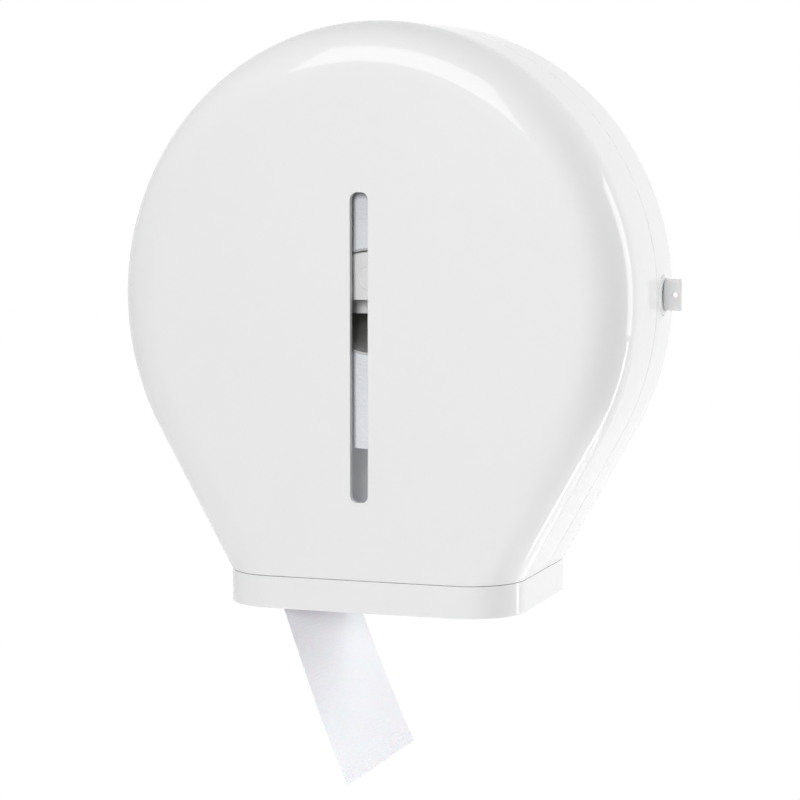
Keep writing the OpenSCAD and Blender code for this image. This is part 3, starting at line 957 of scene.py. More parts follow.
def lay_tray(
    name: str,
    outline: ShellOutline,
    section: Sequence[Point2],
    rounding: float,
    hole: TrayHole | None = None,
) -> Solid:
    """Builds an open tray: a plate with a rim round three sides and an open foot.

    Args:
        name: Name of the object.
        outline: Front outline.
        section: Points (inset, depth from the wall) from the plate's outside, round the
            rim, to the plate's inside.
        rounding: Width of the rounding of its sharp edges.
        hole: A hole in the plate.

    Returns:
        The tray.
    """
    bm = bmesh.new()
    rings = [[bm.verts.new((x, -y, z)) for x, z in outline.ring(inset)] for inset, y in section]
    for first, second in zip(rings, rings[1:]):
        skin(bm, first, second)
    bm.faces.new([ring[0] for ring in rings] + [ring[-1] for ring in reversed(rings)])
    rims: list[list[Row]] = [[rings[0]], [rings[-1]]]
    if hole:
        front, back = section[0][1], section[-1][1]
        turn = front - hole.reach
        steps = [(0.0, front), (0.0, turn), (hole.wall, turn), (hole.wall, back)]
        loops = [[bm.verts.new((x, -y, z)) for x, z in hole.loop(grow)] for grow, y in steps]
        for first, second in zip(loops, loops[1:]):
            skin(bm, first, second, closed=True)
        rims = [[rings[0], loops[0]], [rings[-1], loops[-1]]]
    for rim in rims:
        pairs = [pair for row in rim for pair in zip(row, row[1:] + row[:1])]
        edges = [bm.edges.get(pair) or bm.edges.new(pair) for pair in pairs]
        bmesh.ops.triangle_fill(bm, use_beauty=True, use_dissolve=False, edges=edges)
    round_edges(bm, rounding, 3)
    return mesh_object(name, bm)


# ---- Sizes that several pieces share --------------------------------------------------


@dataclass(frozen=True)
class Hinge:
    """Side hinge: barrels on an upright axis, with ears on the rear case."""

    x: float = -157 * MM
    y: float = -38 * MM
    spread: float = 17 * MM
    barrel: float = 4 * MM
    knuckle: float = 11 * MM
    ear: float = 6 * MM
    gap: float = 0.4 * MM
    notch: float = 4.6 * MM
    reach: float = 6.5 * MM
    pin: float = 2.05 * MM

    @property
    def half(self) -> float:
        """Half the length of one hinge."""
        return self.knuckle / 2 + self.gap + self.ear

    def levels(self) -> list[float]:
        """Gives the heights of the two hinges' middles."""
        return [self.spread, -self.spread]

    def ear_levels(self) -> list[float]:
        """Gives the heights of the four ears' middles."""
        step = (self.knuckle + self.ear) / 2 + self.gap
        return [z + side * step for z in self.levels() for side in SIDES]

    def upright(self, name: str, radius: float, z: float, half: float, rim: float = 0.0) -> Solid:
        """Makes a cylinder on the hinge's axis, from the height of its middle."""
        place = Matrix.Translation((self.x, self.y, z - half))
        return rod(name, radius, place, 2 * half, rim)

    def barrel_at(self, z: float, height: float, forwards: bool) -> Solid:
        """Makes a barrel with a block that roots it in its own shell.

        Args:
            z: Height of its middle.
            height: Its length.
            forwards: Whether the block lies in front of the axis.

        Returns:
            The barrel.
        """
        turned = self.upright("barrel", self.barrel, z, height / 2, 0.4 * MM)
        depth = 2 * self.barrel
        y = (self.y - depth, self.y) if forwards else (self.y, self.y + depth)
        low = (self.x - self.barrel, y[0], z - height / 2)
        high = (self.x + self.reach, y[1], z + height / 2)
        return combine(turned, [block("root", low, high, 0.3 * MM)], Join.ADD)

    def notch_at(self, z: float, height: float) -> Solid:
        """Makes the round notch in which the other shell's barrel turns."""
        return self.upright("notch", self.notch, z, height / 2 + self.gap)

    def pin_bore(self, z: float) -> Solid:
        """Makes the bore of the pin."""
        return self.upright("bore", self.pin, z, self.half + 1 * MM)


@dataclass(frozen=True)
class Lock:
    """Sizes of the sliding lock tab and of what it runs in."""

    z: float = 1.5 * MM
    y: float = -18 * MM
    thick: float = 4 * MM
    height: float = 18.4 * MM
    gap: float = 0.4 * MM
    seat_y: float = -19 * MM
    seat_radius: float = 12.2 * MM
    seat_rise: float = 1.9 * MM
    scallop: float = 9 * MM
    screw_x: float = 143.35 * MM
    screw_dz: float = 18.7 * MM
    catch_x: float = 131.5 * MM
    catch_half: float = 13.2 * MM
    shelf_y: float = -51 * MM
    shelf_depth: float = 9 * MM
    shelf_screw_x: float = 142.85 * MM
    shelf_screw_dz: float = 7.2 * MM

    @property
    def front(self) -> float:
        """Depth of the tab's front face."""
        return self.y - self.thick / 2

    def guide_screws(self) -> list[Point2]:
        """Gives the places (x, z) of the two screws of the tab's guide."""
        return [(self.screw_x, self.z + side * self.screw_dz) for side in SIDES]

    def catch_screws(self) -> list[Point2]:
        """Gives the places (x, z) of the two screws of the cover's catch."""
        return [(self.shelf_screw_x, self.z + side * self.shelf_screw_dz) for side in SIDES]


@dataclass(frozen=True)
class Fixing:
    """Places of the screws that join the case, the band, the bars and the spindle."""

    bore: float = 2.05 * MM
    band: tuple[float, ...] = (-62 * MM, 0.0, 62 * MM)
    band_z: float = -170.4 * MM
    bar: Point2 = (71.98 * MM, 34.6 * MM)
    bar_middle: float = -56.8 * MM
    studs: tuple[Point2, ...] = ((-14 * MM, 9 * MM), (14 * MM, 9 * MM), (0.0, 18 * MM))
    wall: Point2 = (70 * MM, 60 * MM)

    def bars(self) -> list[Point2]:
        """Gives the places (x, y) of the four screws of the tear bars."""
        x, y = self.bar
        return [(s * x, self.bar_middle + t * y) for s in SIDES for t in SIDES]

    def wall_holes(self) -> list[Point2]:
        """Gives the places (x, z) of the four wall screws."""
        x, z = self.wall
        return [(s * x, t * z) for s in (-1, 1) for t in (-1, 1)]


HINGE = Hinge()
LOCK = Lock()
FIXING = Fixing()


# ---- Sub-assemblies -------------------------------------------------------------------


@dataclass
class FrontCover:
    """The deep round cover with the upright window slot."""

    outline: ShellOutline
    depth: float = 116 * MM
    seam: float = 38.2 * MM
    wall: float = 3 * MM
    nose: float = 34 * MM
    nose_steps: int = 18
    side_steps: int = 5
    margin: float = 3 * MM
    rounding: float = 0.3 * MM
    window: TrayHole = TrayHole(5.35 * MM, 62.3 * MM, -115.3 * MM, 4 * MM, 1.6 * MM, 4 * MM)

    def nose_ring(self, angle: float, wall: float) -> Point2:
        """Gives the inset and depth of a ring of the rounded front edge."""
        radius = self.nose - wall
        inset = wall + radius * math.cos(self.outline.taper) * (1 - math.cos(angle))
        return (inset, self.depth - self.nose + radius * math.sin(angle))

    def section(self) -> list[Point2]:
        """Gives the wall's section from the front face round the seam to the inner face."""
        start = self.depth - self.nose
        turns = [math.pi / 2 * k / self.nose_steps for k in range(self.nose_steps + 1)]
        outer = [self.nose_ring(angle, 0.0) for angle in reversed(turns)]
        inner = [self.nose_ring(angle, self.wall) for angle in turns]
        shares = [k / self.side_steps for k in range(1, self.side_steps + 1)]
        side = [start + (self.seam - start) * share for share in shares]
        return [
            (outer[0][0] + self.margin, outer[0][1]),
            *outer,
            *[(0.0, y) for y in side],
            *[(self.wall, y) for y in reversed(side)],
            *inner,
            (inner[-1][0] + self.margin, inner[-1][1]),
        ]

    def build(self, finishes: Finishes) -> Solid:
        """Builds and hangs the cover.

        Args:
            finishes: The finishes.

        Returns:
            The cover.
        """
        cover = lay_tray("cover_shell", self.outline, self.section(), self.rounding, self.window)
        low_z, high_z = (LOCK.z + side * LOCK.catch_half for side in (-1, 1))
        side_x = self.outline.half_width - self.wall / 2 - 0.5 * MM
        low = (LOCK.catch_x, LOCK.shelf_y - LOCK.shelf_depth, low_z)
        shelf = block("shelf", low, (side_x, LOCK.shelf_y, high_z), 0.5 * MM)
        knuckles = [HINGE.barrel_at(z, HINGE.knuckle, True) for z in HINGE.levels()]
        combine(cover, [shelf, *knuckles], Join.ADD)
        cuts = [HINGE.pin_bore(z) for z in HINGE.levels()]
        cuts += [HINGE.notch_at(z, HINGE.ear) for z in HINGE.ear_levels()]
        for x, z in LOCK.catch_screws():
            cuts.append(bore_y(x, z, FIXING.bore, -LOCK.shelf_y - 1 * MM, -LOCK.shelf_y + 7 * MM))
        combine(cover, cuts, Join.CUT)
        return hang(cover, Body.COVER, finishes.shell, "front_cover")


@dataclass
class RearCase:
    """The shallow tray that is screwed to the wall."""

    outline: ShellOutline
    front: float = 37.8 * MM
    wall: float = 3 * MM
    lip_inset: float = 3.4 * MM
    lip_wall: float = 1.6 * MM
    lip_front: float = 42 * MM
    lip_root: float = 31.6 * MM
    skirt_half: float = 85.98 * MM
    skirt_foot: float = -177.4 * MM
    spindle_pad: float = 24 * MM
    wall_pad: float = 7.75 * MM
    stud: float = 4.6 * MM
    hole: float = 2.75 * MM
    sink: float = 2.8 * MM
    spindle_head: float = 4.2 * MM
    rounding: float = 0.3 * MM

    def section(self) -> list[Point2]:
        """Gives the section from the wall side of the plate round the rim to its front."""
        lip_in = self.lip_inset + self.lip_wall
        return [
            (0.0, 0.0),
            (0.0, self.front * 0.5),
            (0.0, self.front),
            (self.lip_inset, self.front),
            (self.lip_inset, self.lip_front),
            (lip_in, self.lip_front),
            (lip_in, self.lip_root),
            (self.wall, self.lip_root),
            (self.wall, self.wall),
        ]

    def pad(self, name: str, radius: float, at: Point2, height: float, rim: float) -> Solid:
        """Makes a round pad, from 1 mm deep in the plate, at (x, z)."""
        return rod(name, radius, facing((0, -1, 0), (at[0], -1 * MM, at[1])), height, rim)

    def added(self) -> list[Solid]:
        """Makes the skirt, pads, studs, ears and the round seat of the tab."""
        half, foot = self.skirt_half, self.outline.foot_drop
        low, high = (-half, -self.wall, self.skirt_foot), (half, 0, 10 * MM - foot)
        solids = [block("skirt", low, high, 0.4 * MM)]
        solids.append(self.pad("spindle_pad", self.spindle_pad, (0, 0), 7 * MM, 0.6 * MM))
        for at in FIXING.wall_holes():
            solids.append(self.pad("wall_pad", self.wall_pad, at, 4 * MM, 0.5 * MM))
        for at in LOCK.guide_screws():
            solids.append(self.pad("stud", self.stud, at, 7 * MM, 0.4 * MM))
        solids += [HINGE.barrel_at(z, HINGE.ear, False) for z in HINGE.ear_levels()]
        seat_foot = self.outline.half_width - 1.5 * MM
        place = facing((1, 0, 0), (seat_foot, LOCK.seat_y, LOCK.z))
        solids.append(rod("tab_seat", LOCK.seat_radius, place, LOCK.seat_rise, 0.25 * MM))
        return solids

    def cuts(self) -> list[Solid]:
        """Makes the bores, the notches, the tab's slot and the finger scallop."""
        tools = []
        cone = [(0, 0), (self.hole, 0), (self.hole + self.sink, self.sink), (0, self.sink)]
        cone_foot = self.sink - 5.2 * MM
        for x, z in FIXING.wall_holes():
            tools.append(bore_y(x, z, self.hole, -1 * MM, 6 * MM))
            tools.append(spin("sink", cone, facing((0, -1, 0), (x, cone_foot, z))))
        for x, z in FIXING.studs:
            tools.append(bore_y(x, z, FIXING.bore, -1 * MM, 9 * MM))
            tools.append(bore_y(x, z, self.spindle_head, -1 * MM, 4 * MM))
        for x in FIXING.band:
            tools.append(bore_y(x, FIXING.band_z, FIXING.bore, -1 * MM, 4 * MM))
        for x, z in LOCK.guide_screws():
            tools.append(bore_y(x, z, FIXING.bore, -1 * MM, 9 * MM))
        tools += [HINGE.pin_bore(z) for z in HINGE.levels()]
        tools += [HINGE.notch_at(z, HINGE.knuckle) for z in HINGE.levels()]
        low_x, high_x = self.outline.half_width - 8 * MM, self.outline.half_width + 4 * MM
        reach_z = LOCK.height / 2 + LOCK.gap
        low = (low_x, LOCK.front - LOCK.gap, LOCK.z - reach_z)
        high = (high_x, LOCK.front + LOCK.thick + LOCK.gap, LOCK.z + reach_z)
        tools += [block("tab_slot", low, high), self.scallop(low_x, high_x)]
        gap_half = HINGE.spread + HINGE.half + 3 * MM
        low = (HINGE.x, -self.lip_front - 1 * MM, -gap_half)
        high = (HINGE.x + 20 * MM, -self.front - 0.01 * MM, gap_half)
        tools.append(block("lip_gap", low, high))
        return tools

    def scallop(self, low_x: float, high_x: float) -> Solid:
        """Makes the half-round finger scallop in front of the tab.

        Args:
            low_x: Its inner end.
            high_x: Its outer end.

        Returns:
            The solid that is cut out.
        """
        place = facing((1, 0, 0), (low_x, LOCK.seat_y, LOCK.z))
        reach = LOCK.scallop
        low = (low_x - 1 * MM, LOCK.front, LOCK.z - 2 * reach)
        high = (high_x + 1 * MM, LOCK.front + 3 * reach, LOCK.z + 2 * reach)
        round_part = rod("scallop", reach, place, high_x - low_x)
        return combine(round_part, [block("behind", low, high)], Join.CUT)

    def build(self, finishes: Finishes) -> Solid:
        """Builds and hangs the rear case.

        Args:
            finishes: The finishes.

        Returns:
            The rear case.
        """
        case = lay_tray("wall_case", self.outline, self.section(), self.rounding)
        combine(case, self.added(), Join.ADD)
        combine(case, self.cuts(), Join.CUT)
        return hang(case, Body.CASE, finishes.shell, "rear_case")


@dataclass
class BaseBand:
    """The upright band under the shell, with the paper exit in its floor."""

    outline: ShellOutline
    top: float = -160.7 * MM
    foot: float = -179.4 * MM
    front: float = -116 * MM
    wall: float = 3 * MM
    corner: float = 34 * MM
    corner_steps: int = 24
    floor: float = 2.9 * MM
    rear: float = -3.4 * MM
    exit_half: float = 65.98 * MM
    exit_back: float = -8.6 * MM
    exit_front: float = -105 * MM
    exit_corner: float = 3 * MM
    rounding: float = 0.35 * MM

    @property
    def half(self) -> float:
        """Half width of the band."""
        return self.outline.flank_x(-self.outline.foot_drop)

    def plan(self, inset: float) -> list[Point2]:
        """Gives the band's plan from the back right, round the front, to the back left."""
        half, front, radius = self.half - inset, self.front + inset, self.corner - inset
        x, y = half - radius, front + radius
        turns = [math.pi / 2 * k / self.corner_steps for k in range(self.corner_steps + 1)]
        run = [(half, share * y) for share in (0.0, 0.25, 0.5, 0.75)]
        run += [(x + radius * math.cos(a), y - radius * math.sin(a)) for a in turns]
        across = [(share * x, front) for share in (0.6, 0.2, -0.2, -0.6)]
        return [*run, *across, *[(-x, y) for x, y in reversed(run)]]

    def wall_ring(self) -> Solid:
        """Makes the U-shaped wall with rounded edges."""
        bm = bmesh.new()
        levels = [(0.0, self.top), (0.0, self.foot), (self.wall, self.foot), (self.wall, self.top)]
        rings = [[bm.verts.new((x, y, z)) for x, y in self.plan(inset)] for inset, z in levels]
        for first, second in zip(rings, rings[1:] + rings[:1]):
            skin(bm, first, second)
        for end in (0, -1):
            bm.faces.new([ring[end] for ring in rings])
        round_edges(bm, self.rounding, 3)
        return mesh_object("base_band_shell", bm)

    def floor_plate(self) -> Solid:
        """Makes the floor with the exit cut out of it."""
        plan = [(x, min(y, self.rear)) for x, y in self.plan(self.wall - 0.2 * MM)]
        plate = prism("floor", plan, self.top - 0.05 * MM, self.top - self.floor)
        loop = bar_loop(self.exit_half, -self.exit_front, -self.exit_back, self.exit_corner)
        hole = prism("exit", [(x, -y) for x, y in loop], self.top + 1 * MM, self.top - 5 * MM)
        return combine(plate, [hole], Join.CUT)

    def build(self, finishes: Finishes) -> Solid:
        """Builds and hangs the band.

        Args:
            finishes: The finishes.

        Returns:
            The band.
        """
        band = self.wall_ring()
        side = self.half - self.wall / 2
        low = (-side, self.rear - self.wall, self.foot + 0.3 * MM)
        rear = block("rear_wall", low, (side, self.rear, self.top), 0.3 * MM)
        combine(band, [self.floor_plate(), rear], Join.ADD)
        cuts = [bore_y(x, FIXING.band_z, FIXING.bore, 2 * MM, 8 * MM) for x in FIXING.band]
        for x, y in FIXING.bars():
            place = Matrix.Translation((x, y, self.top - self.floor - 1 * MM))
            cuts.append(rod("bore", FIXING.bore, place, self.floor + 2 * MM))
        combine(band, cuts, Join.CUT)
        return hang(band, Body.CASE, finishes.shell, "base_band")


@dataclass(frozen=True)
class ScrewSet:
    """Pan-head screws that share one node."""

    node: str
    body: Body
    seats: list[Point3]
    head_to: Point3
    length: float


@dataclass
class Screws:
    """All screws of the dispenser, with cross recesses."""

    radius: float = 3.8 * MM
    height: float = 2.2 * MM
    shank: float = 2 * MM
    tip: float = 0.8 * MM
    thread_pitch: float = 0.8 * MM
    recess: float = 1.3 * MM
    arm: float = 1.9 * MM
    slit: float = 0.38 * MM
    dome_steps: int = 6

    def sets(self) -> list[ScrewSet]:
        """Gives where the screws of each node sit."""
        forwards, backwards, down = (0, -1, 0), (0, 1, 0), (0, 0, -1)
        band = [(x, -6.4 * MM, FIXING.band_z) for x in FIXING.band]
        bars = [(x, y, -164.8 * MM) for x, y in FIXING.bars()]
        studs = [(x, -4 * MM, z) for x, z in FIXING.studs]
        cap = [(side * 17 * MM, -99 * MM, 6.6 * MM) for side in SIDES]
        guide = [(x, -11 * MM, z) for x, z in LOCK.guide_screws()]
        catch = [(x, -48 * MM, z) for x, z in LOCK.catch_screws()]
        return [
            ScrewSet("base_band_screws", Body.CASE, band, forwards, 6.1 * MM),
            ScrewSet("tear_bar_screws", Body.CASE, bars, down, 3.4 * MM),
            ScrewSet("spindle_screws", Body.CASE, studs, backwards, 16 * MM),
            ScrewSet("spindle_cap_screws", Body.CASE, cap, forwards, 10 * MM),
            ScrewSet("lock_guide_screws", Body.CASE, guide, forwards, 10.7 * MM),
            ScrewSet("cover_catch_screws", Body.COVER, catch, backwards, 9 * MM),
        ]

    def profile(self, length: float) -> list[Point2]:
        """Gives the turned profile: pointed, ribbed shank and domed pan head."""
        root, pitch, edge = self.shank * 0.8, self.thread_pitch, 0.15 * MM
        points = [(0.0, -length), (root * 0.6, -length)]
        z = -length + self.tip
        while z < -pitch:
            points += [(root, z), (self.shank, z + pitch * 0.35), (root, z + pitch * 0.7)]
            z += pitch
        rim = self.height * 0.3
        points += [(self.shank, 0.0), (self.radius - edge, 0.0), (self.radius, edge)]
        points.append((self.radius, rim))
        for k in range(1, self.dome_steps + 1):
            angle = math.pi / 2 * k / self.dome_steps
            across = self.radius * math.cos(angle) ** 0.6
            points.append((across, rim + (self.height - rim) * math.sin(angle)))
        points[-1] = (0.0, self.height)
        return points

    def one(self, group: ScrewSet, seat: Point3, turn: float) -> Solid:
        """Makes one screw.

        Args:
            group: Its set.
            seat: Where its head seats.
            turn: How far it is screwed round, in radians.

        Returns:
            The screw.
        """
        place = facing(group.head_to, seat) @ Matrix.Rotation(turn, 4, "Z")
        screw = spin("screw", self.profile(group.length), place, 40)
        tools = []
        for x, y in ((self.arm, self.slit), (self.slit, self.arm)):
            low, high = (-x, -y, self.height - self.recess), (x, y, self.height + 1 * MM)
            tools.append(block("blade", low, high))
            tools[-1].data.transform(place)
        over = self.height + 0.1 * MM
        pit = [(0, self.height - 1.5 * self.recess), (0.9 * MM, over), (0, over)]
        return combine(screw, [*tools, spin("pit", pit, place, 4)], Join.CUT)

    def build(self, finishes: Finishes) -> None:
        """Builds and hangs every set of screws.

        Args:
            finishes: The finishes.
        """
        turns = random.Random(7)
        for group in self.sets():
            screws = [self.one(group, seat, turns.uniform(0, math.pi)) for seat in group.seats]
            turned = join(group.node + "_turned", screws)
            hang(turned, group.body, finishes.zinc, group.node)


@dataclass
class PaperRoll:
    """The partly used roll and its card tube."""

    z: float = -1 * MM
    back: float = 10 * MM
    front: float = 98 * MM
    radius: float = 85.5 * MM
    core_outer: float = 30.7 * MM
    core_inner: float = 29.5 * MM
    gap: float = 0.05 * MM
    soft: float = 0.6 * MM
    lip: float = 0.15 * MM
    plies: int = 84
    sides: int = 256
    step_depth: float = 0.22 * MM
    firm: float = 60 * MM
    sink: float = 0.35 * MM
    tube_recess: float = 0.8 * MM

    def end_steps(self, chance: random.Random, inner: float) -> list[Point2]:
        """Gives (radius, depth below the end) of the plies' cut edges."""
        steps = []
        drift = 0.0
        for k in range(1, self.plies):
            drift = 0.7 * drift + chance.uniform(-1, 1) * 0.3 * self.step_depth
            depth = min(self.step_depth, abs(drift) + chance.random() * 0.25 * self.step_depth)
            steps.append((inner + (self.radius - inner) * k / self.plies, depth))
        return steps

    def build(self, finishes: Finishes) -> None:
        """Builds and hangs the paper and the tube.

        Args:
            finishes: The finishes.
        """
        place = facing((0, -1, 0), (0, 0, self.z))
        chance = random.Random(11)
        inner = self.core_outer + self.gap
        low, high, full, soft = self.back, self.front, self.radius, self.soft
        front = [(r, high - d) for r, d in self.end_steps(chance, inner)]
        back = [(r, low + d) for r, d in self.end_steps(chance, inner)]
        shoulder = [(full - soft, high), (full - 0.2 * soft, high - 0.3 * soft)]
        shoulder.append((full, high - soft))
        heel = [(r, low + high - h) for r, h in reversed(shoulder)]
        profile = [(inner, high - 0.1 * MM), *front, *shoulder, (full, (low + high) / 2), *heel]
        profile += [*reversed(back), (inner, low + 0.1 * MM)]
        paper = spin("wound_roll", profile, place, self.sides)
        self.ease(paper)
        hang(paper, Body.ROLL, finishes.roll_end, "roll_paper")
        paper.data.materials.append(finishes.tissue)
        for face in paper.data.polygons:
            middle = Vector((face.center.x, face.center.z - self.z))
            face.material_index = 1 if middle.length > full - 0.3 * MM else 0
        low, high, lip = low + self.tube_recess, high - self.tube_recess, self.lip
        rim = [(self.core_inner, lip), (self.core_inner + lip, 0.0)]
        rim += [(self.core_outer - lip, 0.0), (self.core_outer, lip)]
        tube = [(r, low + h) for r, h in rim] + [(r, high - h) for r, h in reversed(rim)]
        core = spin("card_tube", tube, place, 128)
        hang(core, Body.ROLL, finishes.board, "roll_core")

    def ease(self, paper: Solid) -> None:
        """Lets the outer plies of the roll sink unevenly, as soft paper does."""
        for vert in paper.data.vertices:
            out = Vector((vert.co.x, 0, vert.co.z - self.z))
            share = max(0.0, (out.length - self.firm) / (self.radius - self.firm))
            sink = share**4 * self.sink * (0.5 + 0.5 * noise.noise(vert.co * 45))
            vert.co -= out.normalized() * sink


@dataclass
class PaperTail:
    """The loose end of the paper, which hangs out of the base."""

    x: float = -85.9 * MM
    slope: float = math.radians(20.5)
    start: float = 1 * MM
    bend: float = 91 * MM
    bend_half: float = 16 * MM
    twist: float = 11 * MM
    twist_end: float = 179.4 * MM
    late_twist: float = 4.1 * MM
    bow: float = 1.95 * MM
    bow_start: float = 107 * MM
    end_front: float = 285.5 * MM
    end_rear: float = 277.5 * MM
    front: float = -98 * MM
    back: float = -10 * MM
    thick: float = 0.3 * MM
    wave: float = 0.8 * MM
    tooth: float = 0.45 * MM
    along: int = 150
    across: int = 56

    def share_of(self, drop: float, start: float, end: float) -> float:
        """Gives how far a height lies from a start to an end, held between 0 and 1."""
        return min(1.0, max(0.0, (drop - start) / (end - start)))

    def middle(self, drop: float, share: float) -> Vector:
        """Gives a point of the sheet before it is wrinkled.

        Args:
            drop: Height below the centre.
            share: 0 at the front edge and 1 at the rear edge.

        Returns:
            The point.
        """
        top = self.bend - self.bend_half
        over = max(0.0, drop - top)
        run = over - self.bend_half
        if over < 2 * self.bend_half:
            run = over * over / (4 * self.bend_half)
        lean = self.twist * self.share_of(drop, top, self.twist_end)
        lean += self.late_twist * self.share_of(drop, self.twist_end, self.end_front)
        low = self.share_of(drop, self.bow_start, self.end_front)
        bow = self.bow * 6.75 * low * low * (1 - low)
        x = self.x + math.tan(self.slope) * run + lean * share - bow - self.thick
        return Vector((x, self.front + (self.back - self.front) * share, -drop))

    def ripple(self, drop: float, share: float) -> float:
        """Gives the sideways push of soft waves, which grow towards the free end."""
        free = self.share_of(drop, self.twist_end, self.end_front)
        wave = math.sin(share * 7.0 + drop * 18.0) * 0.5
        wave += noise.noise(Vector((share * 3, drop * 22, 1.7))) * 0.9
        return free * (wave + (2 * share - 1) ** 2 * 0.6) * self.wave

    def torn(self, share: float) -> float:
        """Gives how far the torn end falls short, with fine teeth of fibre."""
        rough = noise.noise(Vector((share * 90, 0.3, 0.1)))
        return self.tooth * (1 + rough + 0.6 * noise.noise(Vector((share * 260, 2.0, 0.4))))

    def end(self, share: float) -> float:
        """Gives how low the sheet would end if it were cut straight."""
        return self.end_front + (self.end_rear - self.end_front) * share

    def sheet_row(self, bm: bmesh.types.BMesh, k: int, side: float) -> Row:
        """Lays a row of points across the sheet.

        Args:
            bm: The mesh.
            k: Number of the row from the top.
            side: 0.5 for the skin on the right, -0.5 for the one on the left.

        Returns:
            The row.
        """
        row = []
        for share in (n / self.across for n in range(self.across + 1)):
            end = self.end(share) - self.torn(share)
            drop = self.start + (end - self.start) * k / self.along
            point = self.middle(drop, share)
            point.x += self.ripple(drop, share) + side * self.thick
            row.append(bm.verts.new(point))
        return row

    def build(self, finishes: Finishes) -> Solid:
        """Builds and hangs the sheet.

        Args:
            finishes: The finishes.

        Returns:
            The sheet.
        """
        bm = bmesh.new()
        rims = []
        for side in (0.5, -0.5):
            rows = [self.sheet_row(bm, k, side) for k in range(self.along + 1)]
            right = [row[-1] for row in rows]
            left = [row[0] for row in reversed(rows)]
            rims.append([*rows[0], *right[1:], *list(reversed(rows[-1]))[1:], *left[1:-1]])
            for first, second in zip(rows, rows[1:]):
                skin(bm, first, second)
        skin(bm, *rims, closed=True)
        sheet = mesh_object("hanging_paper", bm)
        hang(sheet, Body.CASE, finishes.tissue, "paper_tail")
        lengths = [self.run_length(share) for share in (0.0, 1.0)]
        return sheet

    def run_length(self, share: float) -> float:
        """Measures one edge of the sheet along its fall."""
        fall = self.end(share) - self.start
        steps = [self.middle(self.start + fall * k / 200, share) for k in range(201)]
        return sum((b - a).length for a, b in zip(steps, steps[1:]))


@dataclass(frozen=True)
class EdgedPart:
    """A small rigid part that is a copy of its solid with rounded edges."""

    node: str
    body: Body
    slot: Slot
    rounding: float

    def build(self, finish: bpy.types.Material) -> Solid:
        """Builds the copy and hangs it in place of its solid.

        Args:
            finish: Its material.

        Returns:
            The copy.
        """
        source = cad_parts[self.node]
        bm = bmesh.new()
        bm.from_mesh(source.data)
        bm.transform(source.matrix_world)
        bmesh.ops.remove_doubles(bm, verts=bm.verts, dist=0.01 * MM)
        flat = math.radians(0.5)
        bmesh.ops.dissolve_limit(bm, angle_limit=flat, verts=bm.verts, edges=bm.edges)
        round_edges(bm, self.rounding)
        copy = mesh_object(self.node + "_edged", bm)
        return hang(copy, self.body, finish, self.node)


@dataclass
class SmallParts:
    """The small rigid parts, by how they are made."""

    moulded: float = 0.25 * MM
    pressed: float = 0.12 * MM
    tab: float = 0.45 * MM

    def build(self, finishes: Finishes) -> None:
        """Builds and hangs each part.

        Args:
            finishes: The finishes.
        """
        for node in ("spindle", "spindle_cap", "lock_guide"):
            EdgedPart(node, Body.CASE, Slot.INNER, self.moulded).build(finishes.inner)
        EdgedPart("cover_catch", Body.COVER, Slot.INNER, self.moulded).build(finishes.inner)
        for node in ("tear_bar_left", "tear_bar_right"):
            EdgedPart(node, Body.CASE, Slot.STEEL, self.pressed).build(finishes.stainless)
        for node in ("hinge_pin_upper", "hinge_pin_lower", "lock_detent_spring"):
            EdgedPart(node, Body.CASE, Slot.STEEL, self.pressed).build(finishes.zinc)
        EdgedPart("lock_tab", Body.LOCK, Slot.TAB, self.tab).build(finishes.tab)


# ---- Studio ---------------------------------------------------------------------------


def add_object(name: str, data: bpy.types.ID) -> bpy.types.Object:
    """Makes a linked object for a lamp's or a camera's data."""
    obj = bpy.data.objects.new(name, data)
    bpy.context.scene.collection.objects.link(obj)
    return obj


@dataclass(frozen=True)
class SoftBox:
    """A rectangular lamp, placed by the direction in which the object sees it.

    An azimuth of 0 is straight in front, and it grows towards the right.
    """

    name: str
    azimuth: float
    elevation: float
    distance: float
    size: Point2
    power: float
    seen: Seen = Seen.SOFT

    def build(self) -> None:
        """Builds the lamp and turns it to the object."""
        turn, lift = math.radians(self.azimuth), math.radians(self.elevation)
        away = math.cos(lift)
        way = Vector((math.sin(turn) * away, -math.cos(turn) * away, math.sin(lift)))
        data = bpy.data.lights.new(self.name, "AREA")
        data.shape = "RECTANGLE"
        data.size, data.size_y = self.size
        data.energy = self.power
        lamp = add_object(self.name, data)
        lamp.location = way * self.distance
        lamp.rotation_euler = way.to_track_quat("Z", "Y").to_euler()
        lamp.visible_glossy = self.seen is Seen.MIRRORED
        lamp.visible_diffuse = self.seen is Seen.SOFT


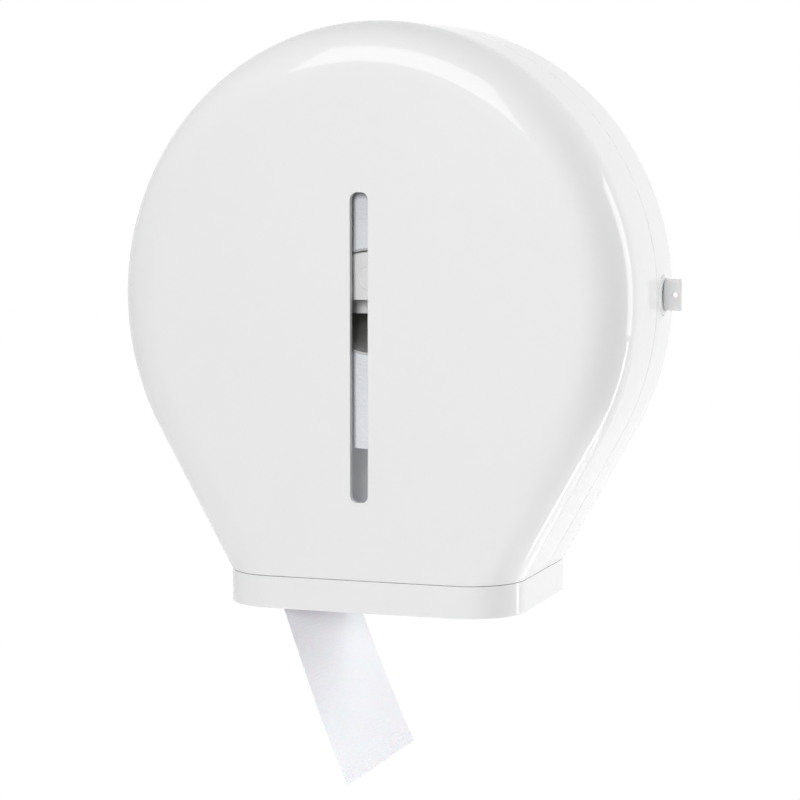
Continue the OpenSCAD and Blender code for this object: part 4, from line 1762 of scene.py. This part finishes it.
@dataclass
class Studio:
    """Plain studio: pale floor, white surroundings, soft lamps and the camera."""

    floor_z: float = -0.9
    floor_radius: float = 1.5
    floor_depth: float = 0.02
    floor_glow: float = 0.45
    fill: float = 0.01
    mirror: float = 1.0
    eye: Point3 = (0.52795, -1.59558, 0.10582)
    yaw: float = math.radians(18.78)
    pitch: float = math.radians(5.88)
    lens: float = 124.515
    lamps: tuple[SoftBox, ...] = (
        SoftBox("front_key", 12.5, 9, 2.6, (0.36, 0.6), 41.5),
        SoftBox("top_key", -9, 45.3, 2.0, (1.7, 1.34), 12.0),
        SoftBox("top_card", -9, 45.3, 2.01, (1.66, 1.3), 14.5, Seen.MIRRORED),
        SoftBox("far_left", -95, 5, 2.2, (1.2, 1.6), 21.0),
        SoftBox("right_wall", 136, 6, 2.0, (1.3, 1.8), 55.0),
        SoftBox("right_card", 121, 8, 1.1, (0.3, 0.75), 1.5, Seen.MIRRORED),
        SoftBox("low_card", 123, -28, 1.15, (0.13, 0.66), 0.8, Seen.MIRRORED),
        SoftBox("top_light", -5, 75, 1.7, (1.2, 0.8), 6.0),
        SoftBox("exit_light", 0, -84, 0.85, (0.4, 0.3), 2.6),
    )

    def world(self) -> None:
        """Makes white surroundings that fill the shadows softly."""
        world = bpy.data.worlds.new("white_studio")
        world.use_nodes = True
        sheet = NodeSheet(world.node_tree)
        white = (1, 1, 1, 1)
        fill = sheet.add("Background", {"Color": white, "Strength": self.fill})
        mirror = sheet.add("Background", {"Color": white, "Strength": self.mirror})
        terms = (sheet.background_rays(), fill.outputs[0], mirror.outputs[0])
        mix = sheet.add("MixShader", dict(enumerate(terms)))
        sheet.add("OutputWorld", {"Surface": mix.outputs[0]})
        bpy.context.scene.world = world

    def floor(self) -> None:
        """Makes the pale floor, which keeps the object's shadow."""
        low, rim = -self.floor_depth, self.floor_radius
        profile = [(0, low), (rim, low), (rim, 0), (0, 0)]
        disc = spin("studio_floor", profile, Matrix.Translation((0, 0, self.floor_z)), 96)
        sheet, material = new_material("pale_floor", (0.9, 0.9, 0.9))
        lift = sheet.maths("MULTIPLY", sheet.background_rays(), self.floor_glow * self.mirror)
        values = {"Base Color": (0.85, 0.85, 0.85, 1), "Roughness": 0.9}
        values |= {"Emission Color": (1, 1, 1, 1), "Emission Strength": lift}
        shader = sheet.add("BsdfPrincipled", values)
        sheet.add("OutputMaterial", {"Surface": shader.outputs[0]})
        disc.data.materials.append(material)

    def camera(self) -> None:
        """Makes the camera at the photograph's place and angle."""
        data = bpy.data.cameras.new("photo_camera")
        data.sensor_width = 36.0
        data.lens = self.lens
        camera = add_object("photo_camera", data)
        camera.location = self.eye
        camera.rotation_euler = (math.pi / 2 - self.pitch, 0.0, self.yaw)
        bpy.context.scene.camera = camera

    def build(self) -> None:
        """Builds the camera, the surroundings, the floor and the lamps."""
        self.camera()
        self.world()
        self.floor()
        for lamp in self.lamps:
            lamp.build()
        bpy.context.scene.view_settings.view_transform = "Standard"


def main() -> None:
    """Builds the studio and every sub-assembly in order."""
    logging.basicConfig(level=logging.INFO, format="%(message)s")
    Studio().build()
    finishes = Finishes()
    outline = ShellOutline()
    RearCase(outline).build(finishes)
    FrontCover(outline).build(finishes)
    BaseBand(outline).build(finishes)
    SmallParts().build(finishes)
    Screws().build(finishes)
    PaperRoll().build(finishes)
    PaperTail().build(finishes)


if __name__ == "__main__":
    main()
